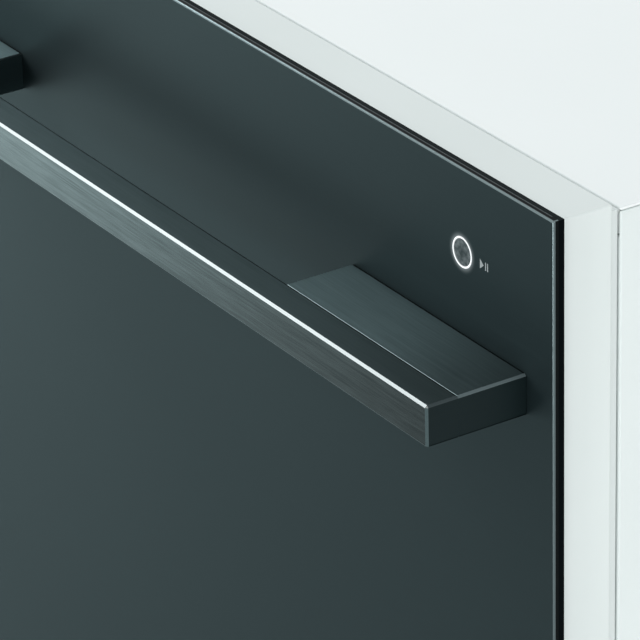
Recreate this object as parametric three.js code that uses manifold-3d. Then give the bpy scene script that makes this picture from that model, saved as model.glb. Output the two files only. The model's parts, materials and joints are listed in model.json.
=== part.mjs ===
// Built-in drawer trash compactor, 451 mm wide, for a gap under a kitchen worktop.
//
// The drawer has a full-height black steel front with a square bar handle and a ring-lit start button.
// It carries a lift-out bin. A motor under the back of the bin turns a gear train and a chain, the chain
// turns two upright power screws, and the screws pull the ram down into the bin.
//
// Units are millimetres. X is to the right, Z is up, and Y is the depth: the front face of the drawer is
// at y = 0 in the modelling group and the cabinet runs towards +Y. The exported group moves the origin
// to the middle of the footprint, on the floor.
import * as THREE from "three";
import { mergeVertices } from "three/addons/utils/BufferGeometryUtils.js";
import { ConvexGeometry } from "three/addons/geometries/ConvexGeometry.js";
import Module from "manifold-3d";

const wasm = await Module();
wasm.setup();

// ---------------------------------------------------------------- driving dimensions
const seat = 0.3; // gap left between two pieces that are fixed to, or rest on, each other
const runClearance = 0.3; // radial gap between a turning piece and its bore

// Drawer front
const panelWidth = 451;
const panelHeight = 756;
const panelBottom = 110; // height of its lower edge over the floor
const skinSheet = 0.9; // black steel skin
const skinReturn = 2.1; // depth of the skin's folded edge
const backerFlange = 2.2; // visible edge of the black backing board
const backerInset = 0.4; // how far that edge stands inside the skin's
const linerDepth = 20.4; // white inner liner behind the board
const linerWall = 2;
const linerInset = 2; // how far the liner stands below the skin's upper edge

// Handle: a bar on two long blocks, all of one height
const barHeight = 14.5;
const barDepth = 12.2;
const handleGap = 26.5; // finger room between the bar and the front
const handleInset = 14.5; // from the side edge of the front to the end of the bar
const handleDrop = 58.9; // from the upper edge of the front to the top of the bar
const blockLength = 99.8;
const handleChamfer = 1;
const handleScrewRadius = 2.5;
const handleScrewHeadRadius = 5;
const handleScrewHeadHeight = 3.2;
const handleScrewPitch = 60; // between the two screws of one block
const handleScrewGrip = 8; // thread length inside the bar

// Start button in its light ring
const buttonInset = 50; // from the right side edge of the front
const buttonDrop = 29.8; // from the upper edge
const ringOuterRadius = 5.55;
const ringInnerRadius = 4.65;
const ringProud = 0.1;
const ringLength = 8;
const buttonCapDepth = 3;
const buttonStemRadius = 2.6;
const buttonStemLength = 8;
const buttonTravel = 1.2;
const controlWidth = 84;
const controlHeight = 44;
const controlDepth = 14;

// Cabinet
const cabinetStep = 3; // how far its sides stand in from the front's side edges
const cabinetTop = 862;
const unitDepth = 610; // front face of the drawer to the outside of the rear panel
const drawerGap = 3; // between the liner and the cabinet's front edge
const gasketWidth = 7;
const gasketInset = 0.8; // from the liner's outer edge
const sheet = 1.2; // side, rear and top panels
const sideFlange = 9;
const sideBottom = 24;
const topLip = 10; // turned-down front edge of the top cover
const toeDepth = 62; // toe space, from the cabinet's front edge
const toeHeight = 102;
const toeKickSheet = 1.5;
const toeKickBottom = 8;
const bracketHeight = 8; // worktop bracket
const bracketSheet = 1.5;
const bracketWidth = 30;
const bracketLength = 40;
const bracketDepthPlace = 170; // far enough back to be reached through the open drawer bay
const bracketInset = 40;
const bracketHoleRadius = 2.5;

// Base frame: an inverted tray that takes the compaction load
const baseTop = 101;
const baseSheet = 3;
const baseBottom = 34;
const skirtSheet = 2;
const baseFlange = 25;
const coverSheet = 1.5;
const coverFrontInset = 52; // base cover, behind the front skirt
const coverRearInset = 76;

// Feet and wheels
const footInset = 27; // stud centre from the cabinet's side
const footBack = 24; // stud centre behind the front skirt
const footPadRadius = 20;
const footPadHeight = 12;
const footPadBevel = 2; // round its lower edge
const footPadShoulder = 3; // fall of its upper face
const footStudRadius = 5;
const footStudTop = 84;
const footPlate = 50;
const wheelRadius = 25;
const wheelWidth = 18;
const wheelChamfer = 3;
const wheelInset = 41; // wheel centre from the cabinet's side
const wheelBack = 46; // axle in front of the rear skirt
const wheelPinRadius = 4;
const wheelEar = 3;
const wheelSideGap = 1;
const wheelTreadGap = 2; // round the tread, in the base frame's flange
const wheelEarLength = 30;

// Runners and rollers
const runnerSheet = 1.5;
const runnerWidth = 17;
const runnerHeight = 38;
const runnerScrewGap = 0.5; // between a runner and the bearing of the screw beside it
const runnerFrontGap = 6; // behind the cabinet's front edge
const rollerRadius = 13;
const rollerWidth = 10;
const rollerChamfer = 1;
const rollerPinRadius = 3;
const rollerHeadRadius = 4.6;
const rollerHeadLength = 1.6;
const rollerSideGap = 1; // how far a roller stands out of its runner
const rollerFrameGap = 2; // between a roller and the drawer frame
const frontRollerPlace = 18; // behind the runner's front end
const drawerOverrun = 24; // travel beyond the bin's length
const rollerSpare = 46; // between the front and rear rollers of a fully open drawer

// Drawer frame and bin
const frameSheet = 2;
const frameFloorGap = 3; // over the base frame
const frameFlangeWidth = 14;
const frameFlangeDrop = 2.2; // under the runner's upper flange
const gussetHeight = 344; // above the rails
const gussetFoot = 172;
const postWidth = 30;
const frameTail = 14; // rail behind the rear roller's axle
const binSideGap = 0.5; // to the drawer frame's rails
const binHeight = 399;
const binWall = 2;
const binRim = 6;
const binFrontGap = 20; // behind the drawer frame's front posts
const frameFloorTail = 8; // frame floor behind the bin's rim
const retainerWidth = 10;
const retainerHeight = 6;
const retainerKnobRadius = 7;
const retainerKnobHeight = 3;

// Power screws, nuts and bearings
const screwRadius = 9.5;
const journalRadius = 7;
const screwInset = 31.3; // screw axis from the side panel's inner face
const nutRadius = 15;
const nutFlangeRadius = 20;
const nutFlangeHeight = 5;
const nutLength = 45;
const bearingFlangeRadius = 17;
const bearingFlangeHeight = 4;
const lowerSleeveRadius = 12;
const lowerSleeveLength = 6;
const upperFlangeHeight = 6;
const upperSleeveRadius = 11;
const endNutRadius = 11;
const endNutHeight = 6;

// Ram
const ramTravel = 270;
const ramSideGap = 16; // around the ram plate inside the bin
const ramPlateHeight = 20;
const ramPlateWall = 4;
const ramBoxWall = 2;
const ramBoxInset = 17; // inside the plate's rim
const ramOverBin = 7; // plate over the bag retainer when the ram is up
const beamWidth = 60;
const beamHeight = 38;
const beamWall = 3;
const beamEndGap = 9; // between the beam and the side panels
const beamOverRetainer = 8; // with the ram down

// Top channel
const channelHeight = 20;
const channelWall = 2.5;

// Chain drive: three equal sprockets and one chain under the base frame. The chain has the most links
// that fit, in pairs, with the motor in front of the rear panel.
const chainPitch = 12.7;
const sprocketTeeth = 11;
const sprocketThickness = 3;
const sprocketHubRadius = 12;
const sprocketHubFoot = 2; // under the sprocket plate
const chainPlateHalf = 4.5;
const chainPlateThickness = 1.8;
const chainGap = 4; // between the upper and lower plates
const chainPinRadius = 2;
const chainPinEvery = 3;
const sprocketLevel = 73.5; // middle of the sprocket plates

// Gear pair and motor
const gearModule = 2.5;
const gearTeeth = 44;
const pinionTeeth = 11;
const pressureAngle = THREE.MathUtils.degToRad(25);
const gearThickness = 8;
const gearBottom = 83;
const gearHubRise = 2; // hub over the gear
const pinionOverhang = 1; // pinion over and under the gear
const pinionShaftFoot = 3; // motor shaft under the gear's lower face
const backlash = 0.35;
const centreSlack = 0.15;
const gearShaftRadius = 6;
const motorShaftRadius = 6;
const motorRadius = 60;
const motorHeight = 138;
const motorShoulder = 8; // sloping edge of its upper end
const motorFlangeRadius = 64;
const motorFlangeHeight = 5;
const motorPilotRadius = 20;
const motorNeckRadius = 30;
const motorNeckHeight = 10;
const motorShaftProud = 2; // shaft over the neck
const motorRearGap = 4; // least gap to the rear panel
const motorFrontGap = 32.5; // behind the drawer frame's floor

// Switches
const topSwitchPlace = 54;
const topSwitchWidth = 28;
const topSwitchDepth = 15;
const topSwitchHeight = 16;
const plungerRadius = 2;
const plungerLength = 6;
const drawerSwitchInset = 30.5; // from the drawer frame's rail
const drawerSwitchWidth = 20;
const drawerSwitchDepth = 26;
const drawerSwitchHeight = 20;
const switchGap = 2; // between a plunger and what presses it

// Odour fan, its filter, vents and the cord gland on the rear panel
const fanInset = 103.3; // fan axle from the side panel's inner face
const fanHeight = 690;
const fanDuctRadius = 40;
const fanHousingSide = 96;
const fanHousingDepth = 25;
const fanHubRadius = 15;
const fanHubDepth = 8; // fixed hub, on the struts
const fanStrutDepth = 4;
const fanStrutWidth = 4;
const fanFrontGap = 2; // fan behind the housing's front face
const fanAxleInset = 3; // end of the axle behind that face
const fanVentInset = 2; // ends of the vent slots inside the duct
const fanTipGap = 2.5;
const fanBlades = 7;
const fanBladeThickness = 2;
const fanBladeTilt = THREE.MathUtils.degToRad(50);
const fanAxleRadius = 2.5;
const filterSide = 104;
const filterDepth = 22;
const filterSlots = 6;
const filterBorder = 8;
const filterSlotHeight = 8;
const filterSlotDepth = 4;
const slotHeight = 5;
const slotPitch = 11;
const motorVentWidth = 150;
const motorVentRows = 8;
const motorVentBottom = 140;
const glandInset = 71.3; // cord gland from the side panel's inner face
const glandHeight = 150;
const glandSleeveRadius = 11;
const glandFlangeRadius = 16;
const glandFlangeHeight = 2.5;
const glandSleeveLength = 12;
const glandBore = 4.5;

// ---------------------------------------------------------------- places worked out from them
const panelTop = panelBottom + panelHeight;
const cabinetWidth = panelWidth - cabinetStep * 2;
const backerBack = skinReturn + seat + backerFlange;
const linerFront = backerBack + seat;
const linerBack = linerFront + linerDepth;
const cabinetFront = linerBack + drawerGap;
const cabinetInner = cabinetWidth / 2 - sheet;
const barTop = panelTop - handleDrop;
const barMiddle = barTop - barHeight / 2;
const handleHalf = panelWidth / 2 - handleInset;
const blockMiddle = handleHalf - blockLength / 2;
const buttonX = panelWidth / 2 - buttonInset;
const buttonZ = panelTop - buttonDrop;
const ringHoleRadius = ringOuterRadius + seat;

const baseFront = cabinetFront + toeDepth;
const rearInner = unitDepth - sheet;
const baseBack = rearInner - seat * 2 - sheet;
const baseHalf = cabinetInner - seat;
const footX = cabinetWidth / 2 - footInset;
const footY = baseFront + footBack;
const wheelX = cabinetWidth / 2 - wheelInset;
const wheelY = baseBack - wheelBack;

const screwOffset = cabinetInner - screwInset;
const runnerOutside = screwOffset - bearingFlangeRadius - runnerScrewGap;
const runnerInside = runnerOutside - runnerWidth;
const rollerInner = runnerInside - rollerSideGap;
const rollerOuter = rollerInner + rollerWidth;
const frameWebOuter = rollerInner - rollerFrameGap;
const frameWebInner = frameWebOuter - frameSheet;
const binWidth = (frameWebInner - binSideGap) * 2;

const gearRadius = (gearModule * gearTeeth) / 2;
const pinionRadius = (gearModule * pinionTeeth) / 2;
const gearCentres = gearRadius + pinionRadius + centreSlack;
const frameFront = linerBack + seat;
const binFront = frameFront + frameSheet + binFrontGap;
const binToMotor = binRim + frameFloorTail + motorFrontGap + motorFlangeRadius;
const sprocketPitchRadius = chainPitch / (2 * Math.sin(Math.PI / sprocketTeeth));
const sprocketBottom = sprocketLevel - sprocketThickness / 2;
const sprocketTop = sprocketLevel + sprocketThickness / 2;
const gearTop = gearBottom + gearThickness;
const chainAcross = 2 * screwOffset + 2 * Math.PI * sprocketPitchRadius;
const rearmostMotor = rearInner - motorRearGap - motorFlangeRadius;
const longestReach = (rearmostMotor - binFront + binToMotor) / 2 - gearCentres;
const longestChain = chainAcross + 2 * Math.hypot(longestReach, screwOffset);
const chainLinks = 2 * Math.floor(longestChain / (2 * chainPitch));
const chainSide = (chainLinks * chainPitch - chainAcross) / 2;
const chainReach = Math.sqrt(chainSide ** 2 - screwOffset ** 2);
const motorY = binFront - binToMotor + 2 * (chainReach + gearCentres);
const driveY = motorY - gearCentres;
const screwY = driveY - chainReach;
const binBack = motorY - binToMotor;
const frameFloorBack = binBack + binRim + frameFloorTail;
const drawerTravel = binBack - binFront + drawerOverrun;

const runnerBottom = baseTop + seat;
const runnerTop = runnerBottom + runnerHeight;
const runnerFront = cabinetFront + runnerFrontGap;
const frontRollerY = runnerFront + frontRollerPlace;
const rearRollerY = frontRollerY + rollerSpare + drawerTravel;
const runnerBack = rearRollerY + rollerRadius + frameTail;
const frameFlangeTop = runnerTop - runnerSheet - frameFlangeDrop;
const rearRollerZ = runnerBottom + runnerSheet + seat + rollerRadius;
const frontRollerZ = frameFlangeTop - frameSheet - seat - rollerRadius;

const frameFloor = baseTop + frameFloorGap;
const frameBack = rearRollerY + frameTail;
const binFloor = frameFloor + frameSheet + seat;
const binTop = binFloor + binHeight;
const retainerBottom = binTop + seat;
const retainerTop = retainerBottom + retainerHeight + retainerKnobHeight;

const ramBottom = retainerTop + ramOverBin;
const ramHalf = binWidth / 2 - binWall - ramSideGap;
const ramFront = binFront + binWall + ramSideGap;
const ramBack = binBack - binWall - ramSideGap;
const beamBottom = retainerTop + beamOverRetainer + ramTravel;
const beamTop = beamBottom + beamHeight;
const beamHalf = cabinetInner - beamEndGap;
const channelTop = cabinetTop - sheet * 2 - seat * 2;
const channelBottom = channelTop - channelHeight;
const channelWebBottom = channelTop - channelWall;
const screwTop = channelWebBottom - seat - upperFlangeHeight - seat;
const screwBottom = baseTop + seat + bearingFlangeHeight + seat;

const drawerSwitchX = -(frameWebInner - drawerSwitchInset);
const fanX = -(cabinetInner - fanInset);
const glandX = cabinetInner - glandInset;

// ---------------------------------------------------------------- shape helpers
function manifoldOf(geometry) {
  const bare = geometry.index ? geometry.toNonIndexed() : geometry.clone();
  bare.deleteAttribute("normal");
  bare.deleteAttribute("uv");
  const merged = mergeVertices(bare, 1e-4);
  return new wasm.Manifold(
    new wasm.Mesh({
      numProp: 3,
      vertProperties: new Float32Array(merged.attributes.position.array),
      triVerts: new Uint32Array(merged.index.array),
    }),
  );
}

function geometryOf(manifold) {
  const mesh = manifold.getMesh();
  const geometry = new THREE.BufferGeometry();
  geometry.setAttribute("position", new THREE.BufferAttribute(mesh.vertProperties, 3));
  geometry.setIndex(new THREE.BufferAttribute(mesh.triVerts, 1));
  return geometry;
}

function join(first, ...others) {
  return geometryOf(others.reduce((sum, other) => sum.add(manifoldOf(other)), manifoldOf(first)));
}

function cut(body, ...tools) {
  return geometryOf(tools.reduce((rest, tool) => rest.subtract(manifoldOf(tool)), manifoldOf(body)));
}

// A box between two corners, given as [low, high] along each axis.
function box([x0, x1], [y0, y1], [z0, z1]) {
  const geometry = new THREE.BoxGeometry(x1 - x0, y1 - y0, z1 - z0);
  return geometry.translate((x0 + x1) / 2, (y0 + y1) / 2, (z0 + z1) / 2);
}

// A box with every edge chamfered.
function chamferedBox(xs, ys, zs, chamfer) {
  const points = [];
  for (let corner = 0; corner < 8; corner++) {
    const end = [corner & 1, (corner >> 1) & 1, (corner >> 2) & 1];
    const place = [xs, ys, zs].map((range, axis) => range[end[axis]]);
    for (let kept = 0; kept < 3; kept++) {
      const inward = place.map((value, axis) => {
        if (axis === kept) return value;
        return value + (end[axis] ? -chamfer : chamfer);
      });
      points.push(new THREE.Vector3(...inward));
    }
  }
  return new ConvexGeometry(points);
}

// A cylinder along "x", "y" or "z" from one place on that axis to another, centred on [a, b] in the
// other two axes, taken in X, Y, Z order.
function rod(axis, radius, [from, to], [a, b], segments = 24) {
  const geometry = new THREE.CylinderGeometry(radius, radius, to - from, segments);
  const middle = (from + to) / 2;
  if (axis === "x") return geometry.rotateZ(Math.PI / 2).translate(middle, a, b);
  if (axis === "y") return geometry.translate(a, middle, b);
  return geometry.rotateX(Math.PI / 2).translate(a, b, middle);
}

// A turned piece about the Z axis from [radius, height] points.
function turned(profile, segments = 24) {
  const points = profile.map(([radius, height]) => new THREE.Vector2(radius, height));
  return new THREE.LatheGeometry([...points, points[0]], segments).rotateX(Math.PI / 2);
}

// An outline of [x, y] points, with optional holes, extruded from one height to another.
function slab(outline, [z0, z1], holes = []) {
  const shape = new THREE.Shape(outline.map(([x, y]) => new THREE.Vector2(x, y)));
  for (const hole of holes) shape.holes.push(new THREE.Path(hole.map(([x, y]) => new THREE.Vector2(x, y))));
  const geometry = new THREE.ExtrudeGeometry(shape, { depth: z1 - z0, bevelEnabled: false });
  return geometry.translate(0, 0, z0);
}

// Turns a slab drawn in (y, z) into one that is thick along X.
function acrossX(geometry) {
  return geometry.rotateZ(Math.PI / 2).rotateY(Math.PI / 2);
}

// A rectangular tray that is open towards -Y.
function tray([x0, x1], [y0, y1], [z0, z1], wall, floor = wall) {
  return cut(
    box([x0, x1], [y0, y1], [z0, z1]),
    box([x0 + wall, x1 - wall], [y0 - 1, y1 - floor], [z0 + wall, z1 - wall]),
  );
}

const sides = [
  ["left", -1],
  ["right", 1],
];

// [low, high] along X, mirrored for the left side.
function mirrored(side, low, high) {
  return side > 0 ? [low, high] : [-high, -low];
}

// ---------------------------------------------------------------- materials
function finish(color, roughness, metalness, extra = {}) {
  return new THREE.MeshStandardMaterial({ color, roughness, metalness, ...extra });
}

const blackSteel = finish(0x2f383a, 0.36, 0.9);
const blackPlastic = finish(0x0c0f10, 0.5, 0);
const whitePlastic = finish(0xe6ebea, 0.5, 0);
const whitePaint = finish(0xdfe5e4, 0.45, 0.1);
const zincSteel = finish(0x9aa0a2, 0.4, 0.8);
const frameSteel = finish(0x3b4042, 0.55, 0.5);
const darkSteel = finish(0x55595b, 0.4, 0.85);
const bronze = finish(0xa97f45, 0.4, 0.8);
const greyPlastic = finish(0x8e9496, 0.5, 0);
const nylon = finish(0xe9e6dc, 0.5, 0);
const rubber = finish(0x1d1e1f, 0.8, 0);
const whiteRubber = finish(0xdde0df, 0.7, 0);
const lightGuide = finish(0xffffff, 0.3, 0, { emissive: 0xffffff });
const charcoal = finish(0x2a2b2b, 0.9, 0);

const modelling = new THREE.Group();
const cabinet = new THREE.Group();
const drawer = new THREE.Group();
const ram = new THREE.Group();
modelling.add(cabinet, drawer, ram);

function add(group, name, geometry, material) {
  const mesh = new THREE.Mesh(geometry, material);
  mesh.name = name;
  group.add(mesh);
  return mesh;
}

// ---------------------------------------------------------------- drawer front
function handleScrewPlaces() {
  const places = [];
  for (const [word, side] of sides) {
    for (const [end, step] of [["outer", 1], ["inner", -1]]) {
      places.push([`${word}_${end}`, side * (blockMiddle + (step * handleScrewPitch) / 2)]);
    }
  }
  return places;
}

function handleScrewHoles(ys) {
  const radius = handleScrewRadius + seat;
  return handleScrewPlaces().map(([, x]) => rod("y", radius, ys, [x, barMiddle], 12));
}

function frontSkin() {
  const half = panelWidth / 2;
  const pan = cut(
    chamferedBox([-half, half], [0, skinReturn * 2], [panelBottom, panelTop], skinSheet * 0.9),
    box([-half - 1, half + 1], [skinReturn, skinReturn * 3], [panelBottom - 1, panelTop + 1]),
    box(
      [-half + skinSheet, half - skinSheet],
      [skinSheet, skinReturn * 3],
      [panelBottom + skinSheet, panelTop - skinSheet],
    ),
  );
  const ringHole = rod("y", ringHoleRadius, [-1, skinReturn], [buttonX, buttonZ], 32);
  return cut(pan, ringHole, ...handleScrewHoles([-1, skinReturn]));
}

function frontBacker() {
  const plugInset = skinSheet + seat;
  const half = panelWidth / 2;
  const plugFront = skinSheet + seat;
  const flangeFront = skinReturn + seat;
  const plug = box(
    [-half + plugInset, half - plugInset],
    [plugFront, flangeFront + backerFlange / 2],
    [panelBottom + plugInset, panelTop - plugInset],
  );
  const flange = box(
    [-half + backerInset, half - backerInset],
    [flangeFront, backerBack],
    [panelBottom + backerInset, panelTop - backerInset],
  );
  const ringHole = rod("y", ringHoleRadius, [0, backerBack + 1], [buttonX, buttonZ], 32);
  return cut(join(plug, flange), ringHole, ...handleScrewHoles([0, backerBack + 1]));
}

function innerLiner() {
  return tray(
    [-cabinetWidth / 2, cabinetWidth / 2],
    [linerFront, linerBack],
    [panelBottom + linerInset, panelTop - linerInset],
    linerWall,
  );
}

// A soft seal on the back of the liner, across the top and down both sides, that meets the cabinet's
// front edge.
function drawerGasket() {
  const half = cabinetWidth / 2 - gasketInset;
  const ys = [linerBack + seat, cabinetFront - seat];
  const bottom = panelBottom + linerInset + gasketInset;
  const top = cabinetTop - gasketInset;
  return cut(
    box([-half, half], ys, [bottom, top]),
    box(
      [-half + gasketWidth, half - gasketWidth],
      [linerBack, cabinetFront],
      [bottom - 1, top - gasketWidth],
    ),
  );
}

function controlModule() {
  const stemBore = ringLength + seat + linerFront - backerBack;
  const stemEnd = buttonCapDepth + buttonStemLength + buttonTravel + 1;
  const housing = box(
    [buttonX - controlWidth / 2, buttonX + controlWidth / 2 - controlWidth / 8],
    [linerFront, linerFront + controlDepth],
    [buttonZ - controlHeight / 2, buttonZ + controlHeight / 2],
  );
  return cut(
    housing,
    rod("y", ringHoleRadius, [linerFront - 1, stemBore], [buttonX, buttonZ], 24),
    rod("y", buttonStemRadius + seat, [linerFront, stemEnd], [buttonX, buttonZ], 16),
  );
}

add(drawer, "front_skin", frontSkin(), blackSteel);
add(drawer, "front_backing_board", frontBacker(), blackPlastic);
add(drawer, "inner_liner", innerLiner(), whitePlastic);
add(drawer, "drawer_gasket", drawerGasket(), whiteRubber);
add(drawer, "control_module", controlModule(), blackPlastic);

const lightRing = cut(
  rod("y", ringOuterRadius, [-ringProud, ringLength], [0, 0], 32),
  rod("y", ringInnerRadius, [-1, ringLength + 1], [0, 0], 32),
);
add(drawer, "light_ring", lightRing, lightGuide).position.set(buttonX, 0, buttonZ);

const startButton = join(
  rod("y", ringInnerRadius - seat, [-ringProud, buttonCapDepth], [0, 0], 32),
  rod("y", buttonStemRadius, [buttonCapDepth / 2, buttonCapDepth + buttonStemLength], [0, 0], 16),
);
add(drawer, "start_button", startButton, blackSteel).position.set(buttonX, 0, buttonZ);

// ---------------------------------------------------------------- handle
function handleBar() {
  const bar = chamferedBox(
    [-handleHalf, handleHalf],
    [-handleGap - barDepth, -handleGap],
    [barTop - barHeight, barTop],
    handleChamfer,
  );
  return cut(bar, ...handleScrewHoles([-handleGap - handleScrewGrip - 1, -handleGap + 1]));
}

function handleBlock(side) {
  const block = chamferedBox(
    mirrored(side, handleHalf - blockLength, handleHalf),
    [-handleGap + seat, -seat],
    [barTop - barHeight, barTop],
    handleChamfer / 3,
  );
  return cut(block, ...handleScrewHoles([-handleGap - 1, 1]));
}

function handleScrew() {
  const headFront = backerBack + seat;
  return join(
    rod("y", handleScrewRadius, [-handleGap - handleScrewGrip, headFront + 1], [0, 0], 12),
    rod("y", handleScrewHeadRadius, [headFront, headFront + handleScrewHeadHeight], [0, 0], 16),
  );
}

add(drawer, "handle_bar", handleBar(), blackSteel);
for (const [word, side] of sides) add(drawer, `handle_block_${word}`, handleBlock(side), blackSteel);
for (const [word, x] of handleScrewPlaces()) {
  add(drawer, `handle_screw_${word}`, handleScrew(), zincSteel).position.set(x, 0, barMiddle);
}

// ---------------------------------------------------------------- drawer frame, bin and bag retainer
function drawerFrame() {
  const floor = box(
    [-frameWebOuter, frameWebOuter],
    [frameFront, frameFloorBack],
    [frameFloor, frameFloor + frameSheet],
  );
  const pieces = [];
  for (const [, side] of sides) {
    const web = mirrored(side, frameWebInner, frameWebOuter);
    const gusset = [
      [frameFront, frameFloor],
      [frameFloorBack, frameFloor],
      [frameBack, frameFloor],
      [frameBack, frameFlangeTop],
      [frameFront + gussetFoot, frameFlangeTop],
      [frameFront + frameSheet * 4, frameFlangeTop + gussetHeight],
      [frameFront, frameFlangeTop + gussetHeight],
    ];
    const pinEnd = rollerOuter + rollerHeadLength;
    pieces.push(
      acrossX(slab(gusset, web)),
      box(
        mirrored(side, frameWebInner, frameWebOuter + frameFlangeWidth),
        [frameFront + frameSheet * 4, frameBack],
        [frameFlangeTop - frameSheet, frameFlangeTop],
      ),
      box(
        mirrored(side, frameWebOuter - postWidth, frameWebOuter),
        [frameFront, frameFront + frameSheet],
        [frameFloor, frameFlangeTop + gussetHeight],
      ),
      rod("x", rollerPinRadius, mirrored(side, frameWebInner, pinEnd), [rearRollerY, rearRollerZ], 12),
      rod(
        "x",
        rollerHeadRadius,
        mirrored(side, rollerOuter + seat, pinEnd),
        [rearRollerY, rearRollerZ],
        12,
      ),
    );
  }
  return join(floor, ...pieces);
}

function bin() {
  const outer = box([-binWidth / 2, binWidth / 2], [binFront, binBack], [binFloor, binTop]);
  const rim = box(
    [-binWidth / 2 - binRim, binWidth / 2 + binRim],
    [binFront - binRim, binBack + binRim],
    [binTop - binRim, binTop],
  );
  const inside = box(
    [-binWidth / 2 + binWall, binWidth / 2 - binWall],
    [binFront + binWall, binBack - binWall],
    [binFloor + binWall, binTop + 1],
  );
  return cut(join(outer, rim), inside);
}

function bagRetainer() {
  const half = binWidth / 2 + binRim;
  const [y0, y1] = [binFront - binRim, binBack + binRim];
  const level = [retainerBottom, retainerBottom + retainerHeight];
  const hoop = cut(
    box([-half, half], [y0, y1], level),
    box(
      [-half + retainerWidth, half - retainerWidth],
      [y0 + retainerWidth, y1 - retainerWidth],
      [retainerBottom - 1, retainerTop],
    ),
  );
  const knobs = [];
  for (const x of [-half + retainerKnobRadius, half - retainerKnobRadius]) {
    for (const y of [y0 + retainerKnobRadius, y1 - retainerKnobRadius]) {
      knobs.push(rod("z", retainerKnobRadius, [retainerBottom, retainerTop], [x, y], 16));
    }
  }
  return join(hoop, ...knobs);
}

add(drawer, "drawer_frame", drawerFrame(), zincSteel);
add(drawer, "bin", bin(), greyPlastic);
add(drawer, "bag_retainer", bagRetainer(), blackPlastic);

// ---------------------------------------------------------------- runners and rollers
function runner(side) {
  const ys = [runnerFront, runnerBack];
  const web = mirrored(side, runnerOutside - runnerSheet, runnerOutside);
  const full = mirrored(side, runnerInside, runnerOutside);
  const headEnd = rollerInner - rollerHeadLength;
  return join(
    box(web, ys, [runnerBottom, runnerTop]),
    box(full, ys, [runnerBottom, runnerBottom + runnerSheet]),
    box(full, ys, [runnerTop - runnerSheet, runnerTop]),
    rod("x", rollerPinRadius, mirrored(side, headEnd, runnerOutside), [frontRollerY, frontRollerZ], 12),
    rod("x", rollerHeadRadius, mirrored(side, headEnd, rollerInner - seat), [frontRollerY, frontRollerZ], 12),
  );
}

function roller() {
  const bore = rollerPinRadius + runClearance;
  const half = rollerWidth / 2;
  const wheel = turned(
    [
      [bore, -half],
      [rollerRadius - rollerChamfer, -half],
      [rollerRadius, -half + rollerChamfer],
      [rollerRadius, half - rollerChamfer],
      [rollerRadius - rollerChamfer, half],
      [bore, half],
    ],
    24,
  );
  return wheel.rotateY(Math.PI / 2);
}

for (const [word, side] of sides) {
  const middle = (side * (rollerInner + rollerOuter)) / 2;
  add(cabinet, `runner_${word}`, runner(side), zincSteel);
  add(cabinet, `front_roller_${word}`, roller(), nylon).position.set(middle, frontRollerY, frontRollerZ);
  add(drawer, `rear_roller_${word}`, roller(), nylon).position.set(middle, rearRollerY, rearRollerZ);
}

// ---------------------------------------------------------------- cabinet sheets
function sidePanel(side) {
  const top = cabinetTop - sheet - seat;
  const bottomFront = cabinetFront + toeDepth;
  const outline = [
    [cabinetFront, toeHeight],
    [bottomFront, toeHeight],
    [bottomFront, sideBottom],
    [rearInner - seat, sideBottom],
    [rearInner - seat, top],
    [cabinetFront, top],
  ];
  const edge = cabinetWidth / 2;
  const flange = mirrored(side, edge - sideFlange, edge);
  return join(
    acrossX(slab(outline, mirrored(side, edge - sheet, edge))),
    box(flange, [cabinetFront, cabinetFront + sheet], [toeHeight, cabinetTop - topLip - seat]),
    box(flange, [rearInner - seat - sheet, rearInner - seat], [sideBottom, top]),
    box(flange, [cabinetFront + sheet + seat, rearInner - seat], [top - sheet, top]),
  );
}

// Rows of vent slots, each as long as the chord of a circle or as a given width.
function ventSlots(x, z, rows, widthAt) {
  const slots = [];
  for (let row = 0; row < rows; row++) {
    const offset = (row - (rows - 1) / 2) * slotPitch;
    const half = widthAt(offset) / 2;
    slots.push(
      box(
        [x - half, x + half],
        [rearInner - 1, unitDepth + 1],
        [z + offset - slotHeight / 2, z + offset + slotHeight / 2],
      ),
    );
  }
  return slots;
}

function rearPanel() {
  const panel = box(
    [-cabinetWidth / 2, cabinetWidth / 2],
    [rearInner, unitDepth],
    [sideBottom, cabinetTop - sheet - seat],
  );
  const fanRows = Math.floor((2 * (fanDuctRadius - slotHeight)) / slotPitch);
  const ventRadius = fanDuctRadius - fanVentInset;
  const chord = (offset) => 2 * Math.sqrt(ventRadius ** 2 - (Math.abs(offset) + slotHeight / 2) ** 2);
  const motorMiddle = motorVentBottom + ((motorVentRows - 1) * slotPitch) / 2;
  return cut(
    panel,
    ...ventSlots(fanX, fanHeight, fanRows, chord),
    ...ventSlots(0, motorMiddle, motorVentRows, () => motorVentWidth),
    rod("y", glandSleeveRadius + seat, [rearInner - 1, unitDepth + 1], [glandX, glandHeight], 24),
  );
}

function topCover() {
  const half = cabinetWidth / 2;
  return join(
    box([-half, half], [cabinetFront, unitDepth], [cabinetTop - sheet, cabinetTop]),
    box([-baseHalf, baseHalf], [cabinetFront, cabinetFront + sheet], [cabinetTop - topLip, cabinetTop]),
  );
}

function worktopBracket(side) {
  const x0 = cabinetWidth / 2 - bracketInset - bracketLength;
  const middle = x0 + bracketLength / 2;
  const [y0, y1] = [bracketDepthPlace, bracketDepthPlace + bracketWidth];
  const [z0, z1] = [cabinetTop + seat, cabinetTop + bracketHeight];
  const bracket = join(
    box(mirrored(side, x0, middle), [y0, y1], [z0, z0 + bracketSheet]),
    box(mirrored(side, middle - bracketSheet, middle), [y0, y1], [z0, z1]),
    box(mirrored(side, middle - bracketSheet, x0 + bracketLength), [y0, y1], [z1 - bracketSheet, z1]),
  );
  const hole = [side * (middle + bracketLength / 4), (y0 + y1) / 2];
  return cut(bracket, rod("z", bracketHoleRadius, [z1 - bracketSheet - 1, z1 + 1], hole, 16));
}

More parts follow.
